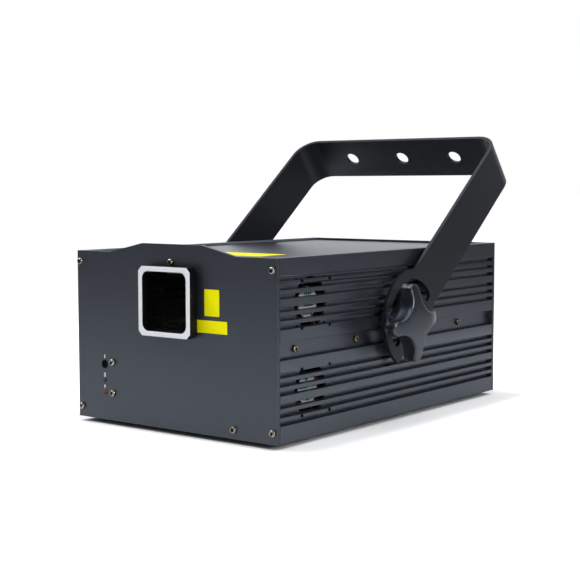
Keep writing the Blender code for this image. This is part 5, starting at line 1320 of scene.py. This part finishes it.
@dataclass
class CoolingFan:
    """A small fan: rotor with swept blades, label on its hub and the lead along a strut."""

    level: str
    hub_radius: float = 0.0105
    blade_tip: float = 0.0180
    blades: int = 7
    label_radius: float = 0.0108
    lead_radius: float = 0.0006
    lead_run: Pair = (0.0095, 0.0188)
    lead_wave: Pair = (0.0002, 900.0)
    root: float = 0.0008
    sweep: float = 0.42
    chord: Pair = (0.0042, 0.0004)
    rise: Pair = (0.0029, 0.0008)
    lens: Pair = (0.00042, 0.00012)
    set_back: float = 0.0006

    LEADS = {"upper": math.radians(-64.0), "lower": math.radians(35.0)}
    ROWS = {"upper": (Row(0.0065, -0.0041, 0.0041, GREEN, 0.0034, 0.00205, 0.72),
                      Row(-0.0021, -0.0040, 0.0062, INK, 0.0017, 0.0017, 0.72),
                      Row(-0.0078, -0.0050, 0.0050, INK, 0.0013, 0.0011, 0.70)),
            "lower": (Row(0.0081, -0.0029, 0.0005, GREEN, 0.0040, 0.0040, 0.95),
                      Row(0.0021, -0.0098, 0.0010, GREEN, 0.0034, 0.00215, 0.75),
                      Row(0.0021, 0.0022, 0.0098, INK, 0.0030, 0.0019, 0.45),
                      Row(-0.0065, -0.0017, 0.0017, GREEN, 0.0034, 0.0040, 0.95))}

    def build(self) -> None:
        """Builds the moving and the fixed pieces about the fan's axis."""
        low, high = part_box(f"{self.level}_fan_frame")
        centre = centre_of(f"{self.level}_fan_frame")
        place = Facing.RIGHT.at(centre)
        half = (high[0] - low[0]) / 2
        dress(PAINTS.plastic, f"{self.level}_fan_frame")
        rotor = Skin.together([self.hub(half), *self.vanes()]).placed(place)
        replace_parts(rotor.piece(f"{self.level}_fan_rotor_swept", f"{self.level}_fan", PAINTS.plastic,
                                "black_plastic", 40.0), f"{self.level}_fan_rotor")
        face = half - 0.0003
        edge = self.label_radius
        label = turned([(0, face + 0.0002), (edge - 0.0001, face + 0.0002), (edge, face), (0, face)], 48)
        finish = FanLabel(f"{self.level}_fan_label", (0.80, 0.82, 0.86), 0.34, middle=(centre.y, centre.z),
                          rows=self.ROWS[self.level])
        label.placed(place).piece(f"{self.level}_fan_label", "housing", finish, "black_plastic")
        self.lead(place, face)

    def hub(self, half: float) -> Skin:
        """The rotor's cup, with a rounded rim.

        Args:
            half: half the fan's thickness.

        Returns:
            The closed cup.
        """
        low, high = 0.0003 - half, half - 0.0021
        radius = self.hub_radius
        return turned([(0, high), (radius - 0.001, high), (radius - 0.0003, high - 0.0003),
                       (radius, high - 0.001), (radius, low + 0.0005), (radius - 0.0005, low), (0, low)], 40)

    def vanes(self) -> list[Skin]:
        """Blades whose angle of sweep grows with radius and whose pitch flattens from hub to tip.

        The point at share u of the way out and v across is at radius r(u), angle sweep(u) + v chord(u) / r,
        and height v rise(u), thickened by a lens shape in v. Chord and rise are given as the value at the
        root and its loss to the tip, the lens as its swell and the thickness of its edges.

        Returns:
            The blades in their places.
        """
        out, across = np.meshgrid(np.linspace(0, 1, 10), np.linspace(-1, 1, 13), indexing="ij")
        radius = self.hub_radius - self.root + (self.blade_tip - self.hub_radius + self.root) * out
        angle = self.sweep * out ** 1.4 + across * (self.chord[0] - self.chord[1] * out) / radius
        height = across * (self.rise[0] - self.rise[1] * out) - self.set_back
        thick = self.lens[0] * (1 - across ** 2) + self.lens[1]
        layers = [polar(radius, angle, height + sign * thick) for sign in (1, -1)]
        loop = np.concatenate([layers[0], layers[1][:, ::-1]], axis=1)
        blade = Skin.grid(loop, ring_columns=True, capped=True)
        return [blade.placed(Matrix.Rotation(math.tau * i / self.blades, 4, "Z")) for i in range(self.blades)]

    def lead(self, place: Matrix, face: float) -> None:
        """Two thin leads, side by side, from the label's edge to the frame.

        Args:
            place: the fan's place.
            face: height of the label's face in the fan.
        """
        along = np.linspace(*self.lead_run, 12)
        c, s = math.cos(self.LEADS[self.level]), math.sin(self.LEADS[self.level])
        for name, offset, finish in (("red", self.lead_radius, PAINTS.red_lead),
                                     ("black", -self.lead_radius, PAINTS.black_lead)):
            across = offset * 1.05 + self.lead_wave[0] * np.sin(along * self.lead_wave[1])
            level = np.full_like(along, face - 0.0001)
            path = np.stack([along * c - across * s, along * s + across * c, level], axis=-1)
            tube(path, self.lead_radius).placed(place).piece(
                f"{self.level}_fan_{name}_lead", "housing", finish, "black_plastic", 60.0)


@dataclass
class SevenSegments:
    """A row of seven-segment digits, each segment a pointed bar."""

    digit: float = 0.0088
    pitch: float = 0.0102
    bar: float = 0.0010
    half_width: float = 0.28
    half_bar: float = 0.23

    SHAPES = {"0": "abcdef", "1": "bc", " ": ""}

    def bars(self) -> dict[str, Matrix]:
        """Each segment's place in a digit that is centred on the origin.

        Returns:
            The places by the segments' usual letters.
        """
        wide, tall = self.digit * self.half_width, self.digit / 2
        upright = Matrix.Rotation(math.radians(90), 4, "Z")
        return {"a": Matrix.Translation((0, tall, 0)), "g": Matrix.Identity(4),
                "d": Matrix.Translation((0, -tall, 0)),
                "b": Matrix.Translation((wide, tall / 2, 0)) @ upright,
                "c": Matrix.Translation((wide, -tall / 2, 0)) @ upright,
                "f": Matrix.Translation((-wide, tall / 2, 0)) @ upright,
                "e": Matrix.Translation((-wide, -tall / 2, 0)) @ upright}

    def segment(self) -> Skin:
        """A flat bar with pointed ends.

        Returns:
            The closed bar.
        """
        half, thick = self.digit * self.half_bar, self.bar / 2
        edge = np.array([(half, 0), (half - thick, thick), (thick - half, thick), (-half, 0),
                         (thick - half, -thick), (half - thick, -thick)])
        return stacked([(edge, 0.0), (edge, 2 * HAIR)])

    def build(self, text: str, place: Matrix) -> None:
        """Writes a number with lit segments and leaves the others dark.

        Args:
            text: the digits and spaces.
            place: the middle of the row.
        """
        segment, bars = self.segment(), self.bars()
        lit, dim = [], []
        for i, letter in enumerate(text):
            shift = Matrix.Translation(((i - (len(text) - 1) / 2) * self.pitch, 0, 0))
            for key, matrix in bars.items():
                (lit if key in self.SHAPES[letter] else dim).append(place @ shift @ matrix)
        segment.repeated(lit).piece("display_lit_segments", "housing", PAINTS.lit_digit, "board")
        segment.repeated(dim).piece("display_dark_segments", "housing", PAINTS.dim_digit, "board")


@dataclass
class RearPanel:
    """Sockets, switches, lock, buttons, display and safety eye."""

    drawing: Drawing
    flange: float = 0.0023
    inlet: Pair = (0.062, 0.030)
    inlet_rise: float = 0.0045
    pin_spacing: float = 0.014
    socket_depth: float = 0.014
    dmx_height: float = 0.030
    dmx_in_x: float = -0.062
    dmx_out_x: float = -0.030
    dmx_pin_circle: float = 0.005
    tab_rise: float = 0.0128
    port: Pair = (-0.046, 0.070)
    port_pitch: float = 0.00276
    port_row: float = 0.0014
    port_face: float = 0.0068
    display: Pair = (0.010, 0.098)
    window: Pair = (0.0442, 0.0152)
    button_height: float = 0.076
    button_pitch: float = 0.012
    number_drop: float = 0.0062
    number_size: float = 0.0032
    eye: Pair = (-0.066, 0.105)
    eye_wire: float = 0.0022
    eye_ring: float = 0.0075
    switch: Pair = (0.062, 0.066)
    rocker_pivot: float = 0.0003
    rocker_tilt: float = math.radians(9.0)
    rocker_middle: float = 0.0022
    rocker_slope: float = 0.125
    mark_rise: float = 0.0044

    def build(self) -> None:
        """Dresses the solids and adds contacts, marks and screens."""
        dress(PAINTS.plastic, "mains_inlet", "dmx_input", "dmx_output", "power_switch", "power_rocker",
              *(f"menu_button_{i}" for i in range(1, 5)))
        softened("fuse_drawer", PAINTS.plastic, 0.0002)
        dress(PAINTS.steel, "key_switch", "control_port")
        softened("key", PAINTS.steel, 0.0002)
        self.mains_pins()
        self.round_contacts()
        self.wide_port()
        self.screen()
        self.rocker_marks()
        self.safety_eye()
        self.numbers()

    def mains_pins(self) -> None:
        """Plated blades over the inlet's three plain pins."""
        wide, tip = corner_loop(0.0021, 0.0041, 0.0003, 3), corner_loop(0.0014, 0.0034, 0.0003, 3)
        blade = stacked([(wide, 0.0), (wide, 0.0112), (tip, 0.0121)])
        x, height = self.inlet
        offsets = (-self.pin_spacing / 2, -0.001), (self.pin_spacing / 2, -0.001), (0, 0.003)
        root = self.flange - self.socket_depth
        places = [self.drawing.on_rear(x + dx, height + self.inlet_rise + dz, root) for dx, dz in offsets]
        blade.repeated(places).piece("mains_contacts", "housing", PAINTS.steel, "bright_steel")

    def round_contacts(self) -> None:
        """Silver pins in the input, gilt rims round the output's holes and a latch tab on each."""
        turns = [math.radians(angle) for angle in (30, 150, 270)]
        pin = turned([(0, 0.0002), (0.00126, 0.0002), (0.00126, 0.0112), (0.0009, 0.0119), (0, 0.0121)], 20)
        ring = turned([(0.00152, 0.00002), (0.0024, 0.00002), (0.0024, 0.0003), (0.0020, 0.0004),
                       (0.00152, 0.0003), (0.00152, 0.00002)], 24)
        for name, x, skin, depth, finish in (
                ("dmx_input_pins", self.dmx_in_x, pin, self.flange - 0.013, PAINTS.steel),
                ("dmx_output_rims", self.dmx_out_x, ring, self.flange, PAINTS.gold)):
            places = [self.drawing.on_rear(x - self.dmx_pin_circle * math.cos(t),
                                           self.dmx_height - self.dmx_pin_circle * math.sin(t), depth)
                      for t in turns]
            skin.repeated(places).piece(name, "housing", finish, "bright_steel")
        tab = slab(0.0062, 0.0042, 0.0012, 0.0011, 0.0003)
        places = [self.drawing.on_rear(x, self.dmx_height + self.tab_rise, self.flange)
                  for x in (self.dmx_in_x, self.dmx_out_x)]
        tab.repeated(places).piece("dmx_latch_tabs", "housing", PAINTS.steel, "bright_steel")

    def wide_port(self) -> None:
        """The 25-way port's black insert and its gilt contacts, thirteen above twelve."""
        x, height = self.port
        insert = slab(0.0366, 0.0066, 0.0014, 0.0003, 0.0001)
        insert.placed(self.drawing.on_rear(x, height, self.port_face - 0.0001)).piece(
            "control_port_insert", "housing", PAINTS.plastic, "black_plastic")
        contact = turned([(0, 0.0002), (0.00035, 0.0002), (0.0005, 0.0004), (0.00066, 0.0004), (0.0007, 0.0),
                          (0, 0)], 12)
        places = [self.drawing.on_rear(x + (i - (count - 1) / 2) * self.port_pitch, height + rise,
                                       self.port_face + 0.0002)
                  for count, rise in ((13, self.port_row), (12, -self.port_row)) for i in range(count)]
        contact.repeated(places).piece("control_port_contacts", "housing", PAINTS.gold, "bright_steel")

    def screen(self) -> None:
        """A dark red window over the display, with a menu number lit in it."""
        x, height = self.display
        window = slab(*self.window, 0.0008, 0.0006, 0.00012)
        window.placed(self.drawing.on_rear(x, height, -0.0004)).piece(
            "display_window", "housing", PAINTS.screen, "board")
        SevenSegments().build("  01", self.drawing.on_rear(x, height, 0.00024))

    def rocker_marks(self) -> None:
        """The stroke and the ring that mark a switch's two states."""
        x, height = self.switch
        pivot = Matrix.Translation(self.drawing.behind(x, height, self.rocker_pivot)) @ Matrix.Rotation(
            self.rocker_tilt, 4, "X")
        stroke = slab(0.0006, 0.0030, 0.0001, 2 * HAIR, HAIR / 2)
        ring = turned([(0.0010, 0), (0.0015, 0), (0.0015, 2 * HAIR), (0.0010, 2 * HAIR), (0.0010, 0)], 32)
        for name, skin, sign in (("on", stroke, 1), ("off", ring, -1)):
            out = self.rocker_middle + self.rocker_slope * self.mark_rise
            local = Matrix.Translation((0, out, sign * self.mark_rise))
            lean = Matrix.Rotation(-sign * math.atan(self.rocker_slope), 4, "X")
            skin.placed(pivot @ local @ lean @ Facing.REAR.value).piece(
                f"rocker_{name}_mark", "rocker", PAINTS.white, "black_plastic")

    def safety_eye(self) -> None:
        """An eye bolt: a ring of round wire on a collar and a shank, all turned."""
        (x, height), wire, ring = self.eye, self.eye_wire, self.eye_ring
        around, section = np.meshgrid(np.linspace(0, math.tau, 64, endpoint=False),
                                      np.linspace(0, math.tau, 20, endpoint=False), indexing="ij")
        reach = ring + wire * np.cos(section)
        points = np.stack([wire * np.sin(section), reach * np.cos(around), reach * np.sin(around)], axis=-1)
        torus = Skin.grid(points, ring_rows=True, ring_columns=True)
        centre = Vector((x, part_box("safety_eye")[1][1] - ring - wire, self.drawing.base + height))
        collar = turned([(0, 0.0031), (0.0034, 0.0031), (0.0046, 0.0027), (0.0054, 0.0022), (0.0055, 0.0008),
                         (0.0052, 0.0003), (0.0029, 0.0003), (0.0029, -0.0089), (0, -0.0089)], 40)
        shank = collar.placed(self.drawing.on_rear(x, height))
        piece = Skin.together([torus.placed(Matrix.Translation(centre)), shank]).piece(
            "safety_eye_turned", "housing", PAINTS.steel, "bright_steel", 45.0)
        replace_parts(piece, "safety_eye")

    def numbers(self) -> None:
        """A plain number under each menu button."""
        for number in range(1, 5):
            x = self.display[0] + (number - 2.5) * self.button_pitch
            printed(f"button_number_{number}", str(number), self.number_size,
                    self.drawing.on_rear(x, self.button_height - self.number_drop, HAIR))


@dataclass
class Optics:
    """The deck with lasers, mirrors and scanner, and the electronics round it."""

    drawing: Drawing
    inner_side: float = 0.0881
    set_screws: tuple[Pair, ...] = ((0.0835, 0.0894), (0.1058, 0.0870))

    def build(self) -> None:
        """Gives the inner solids their finishes, and the left wall the set screws seen through the window."""
        places = [Facing.RIGHT.at(self.drawing.at(-self.inner_side, depth, height))
                  for depth, height in self.set_screws]
        head = ScrewHead(radius=0.0021, height=0.0014, socket=0.0010, depth=0.0006)
        head.fitted("optics_set_screws", "housing", PAINTS.gold, places)
        dress(PAINTS.case, "optics_deck", "red_laser", "green_laser", "blue_laser", "scanner_block",
              "beam_combiner")
        dress(PAINTS.aluminium, "right_deck_rail", "left_deck_rail", "galvo_x_motor", "galvo_y_motor",
              "power_supply")
        dress(PAINTS.mirror, "galvo_x_mirror", "galvo_y_mirror")
        dress(PAINTS.board, "indicator_board", "driver_board", "main_board")


@dataclass
class Studio:
    """The white sweep, the soft lamps and the camera."""

    yaw: float = math.radians(37.6591)
    pitch: float = math.radians(4.6368)
    roll: float = math.radians(-0.0691)
    station: Triple = (0.61486, -0.81403, 0.17588)
    lens: float = 79.312
    sensor: float = 36.0
    backdrop: Triple = (-0.61, 0.79, 0.0)
    backdrop_edge: Pair = (0.50, 0.75)
    room: Colour = (0.24, 0.245, 0.25)
    dark: Colour = (0.10, 0.10, 0.11)
    light: Colour = (0.94, 0.965, 1.0)
    backdrop_light: Colour = (0.92, 0.96, 1.0)
    near_floor: Colour = (0.88, 0.88, 0.88)
    far_floor: Colour = (0.12, 0.12, 0.12)
    floor_reach: float = 20.0
    beside_share: float = 0.30
    beside_fade: Pair = (0.0, 0.006)
    away_fade: Pair = (-0.015, 0.018)
    mirror_fade: Pair = (0.10, 0.40)
    far_fade: Pair = (0.25, 0.80)

    def build(self) -> None:
        """Makes the stage and the view."""
        self.camera()
        self.floor()
        self.world()
        self.lamp("key", (-1.05, -0.60, 1.19), (0.0, 0.0, 0.05), (1.2, 1.0), 14.0)
        self.lamp("overhead", (0.1, 0.0, 1.5), (0.1, 0.0, 0.0), (1.8, 1.8), 14.0)
        self.lamp("right_fill", (1.35, -0.35, 0.55), (0.1, -0.05, 0.03), (0.4, 0.3), 8.0)
        bpy.context.scene.view_settings.view_transform = "Standard"

    def camera(self) -> None:
        """Sets the camera where the photograph was taken from."""
        data = bpy.data.cameras.new("camera")
        data.lens, data.sensor_width, data.sensor_fit = self.lens, self.sensor, "HORIZONTAL"
        data.clip_start, data.clip_end = 0.01, 60.0
        camera = bpy.data.objects.new("camera", data)
        bpy.context.scene.collection.objects.link(camera)
        ahead = Vector((-math.sin(self.yaw) * math.cos(self.pitch), math.cos(self.yaw) * math.cos(self.pitch),
                        -math.sin(self.pitch)))
        level = Vector((math.cos(self.yaw), math.sin(self.yaw), 0))
        above = level.cross(ahead)
        right = math.cos(self.roll) * level + math.sin(self.roll) * above
        up = -math.sin(self.roll) * level + math.cos(self.roll) * above
        camera.matrix_world = Matrix((right, up, -ahead)).transposed().to_4x4()
        camera.matrix_world.translation = Vector(self.station)
        bpy.context.scene.camera = camera

    def floor(self) -> None:
        """A wide white floor that glows to the lens: less beside the base plate, which keeps its shadow,
        lifted by a share of the glow that is painted light.

        To a mirror it glows only ahead, where the backdrop is, and far from the object its colour is painted
        dark, a painted shade that dims it to any other ray. Each fade is a pair of distances from the object,
        or from the base plate, between which something sets in.
        """
        low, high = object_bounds()
        reach = np.linspace(-self.floor_reach, self.floor_reach, 9)
        across, along = np.meshgrid(reach, reach, indexing="ij")
        mesh = Skin.grid(np.stack([across, along, np.zeros_like(across)], axis=-1)).mesh("floor", CREASE)
        floor = bpy.data.objects.new("floor", mesh)
        bpy.context.scene.collection.objects.link(floor)
        surface = Surface("white_floor")
        x, y, _ = surface.axes()

        def beyond(low: Vector, high: Vector) -> Expression:
            """Distance out from a box's footprint, less than zero inside it."""
            return (abs(x - (low[0] + high[0]) / 2) - (high[0] - low[0]) / 2).most(
                abs(y - (low[1] + high[1]) / 2) - (high[1] - low[1]) / 2)

        away, beside = beyond(low, high), beyond(*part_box("base_plate"))
        seen, mirrored = surface.rays()
        ahead = surface.place().towards(self.backdrop).between(*self.backdrop_edge)
        ahead = ahead * away.between(*self.mirror_fade)
        # painted light: a share of the glow lifts the object's shadow on the floor
        lit = seen * (self.beside_share * beside.between(*self.beside_fade)
                      + (1.0 - self.beside_share) * away.between(*self.away_fade))
        glow = surface.mixed(lit.most(mirrored * ahead), BLACK, WHITE)
        # painted shade: the floor's colour darkens away from the object, dimming its bounce and reflections
        sweep = surface.mixed(away.between(*self.far_fade), self.near_floor, self.far_floor)
        surface.dress(Base_Color=sweep, Roughness=0.9, Specular_IOR_Level=0.2, Emission_Color=glow,
                      Emission_Strength=1.0)
        mesh.materials.append(surface.material)
        floor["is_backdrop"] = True

    def world(self) -> None:
        """White to the lens; mirrors and clear parts show that backdrop ahead and a dim room elsewhere."""
        world = bpy.data.worlds.new("sweep")
        world.use_nodes = True
        bpy.context.scene.world = world
        graph = Graph(world.node_tree)
        seen, mirrored = graph.rays()
        ahead = graph.node("ShaderNodeTexCoord").towards(self.backdrop).between(*self.backdrop_edge)
        room = graph.mixed(mirrored, self.room, self.dark)
        around = graph.mixed(mirrored * ahead, room, self.backdrop_light)
        sky = graph.mixed(seen, around, WHITE)
        graph.feed(graph.nodes["Background"].inputs["Color"], sky)

    def lamp(self, name: str, place: Triple, target: Triple, size: Pair, power: float) -> None:
        """A soft rectangular lamp aimed at a point.

        Args:
            name: the lamp's name.
            place: its middle.
            target: the point it is aimed at.
            size: its width and height.
            power: in watts.
        """
        data = bpy.data.lights.new(name, "AREA")
        data.shape, (data.size, data.size_y), data.energy, data.color = "RECTANGLE", size, power, self.light
        lamp = bpy.data.objects.new(name, data)
        lamp.location = place
        lamp.rotation_euler = (Vector(target) - Vector(place)).to_track_quat("-Z", "Y").to_euler()
        bpy.context.scene.collection.objects.link(lamp)


def main() -> None:
    """Builds every sub-assembly."""
    logging.basicConfig(level=logging.INFO, format="%(message)s")
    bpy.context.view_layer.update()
    drawing = Drawing.read()
    for assembly in (Housing(drawing), LightWindow(drawing), FrontDetails(drawing), Fasteners(drawing),
                     Yoke(), StarKnob(1), StarKnob(-1), CoolingFan("upper"), CoolingFan("lower"),
                     RearPanel(drawing), Optics(drawing), Studio()):
        assembly.build()
        LOG.info("built %s", type(assembly).__name__)


if __name__ == "__main__":
    main()
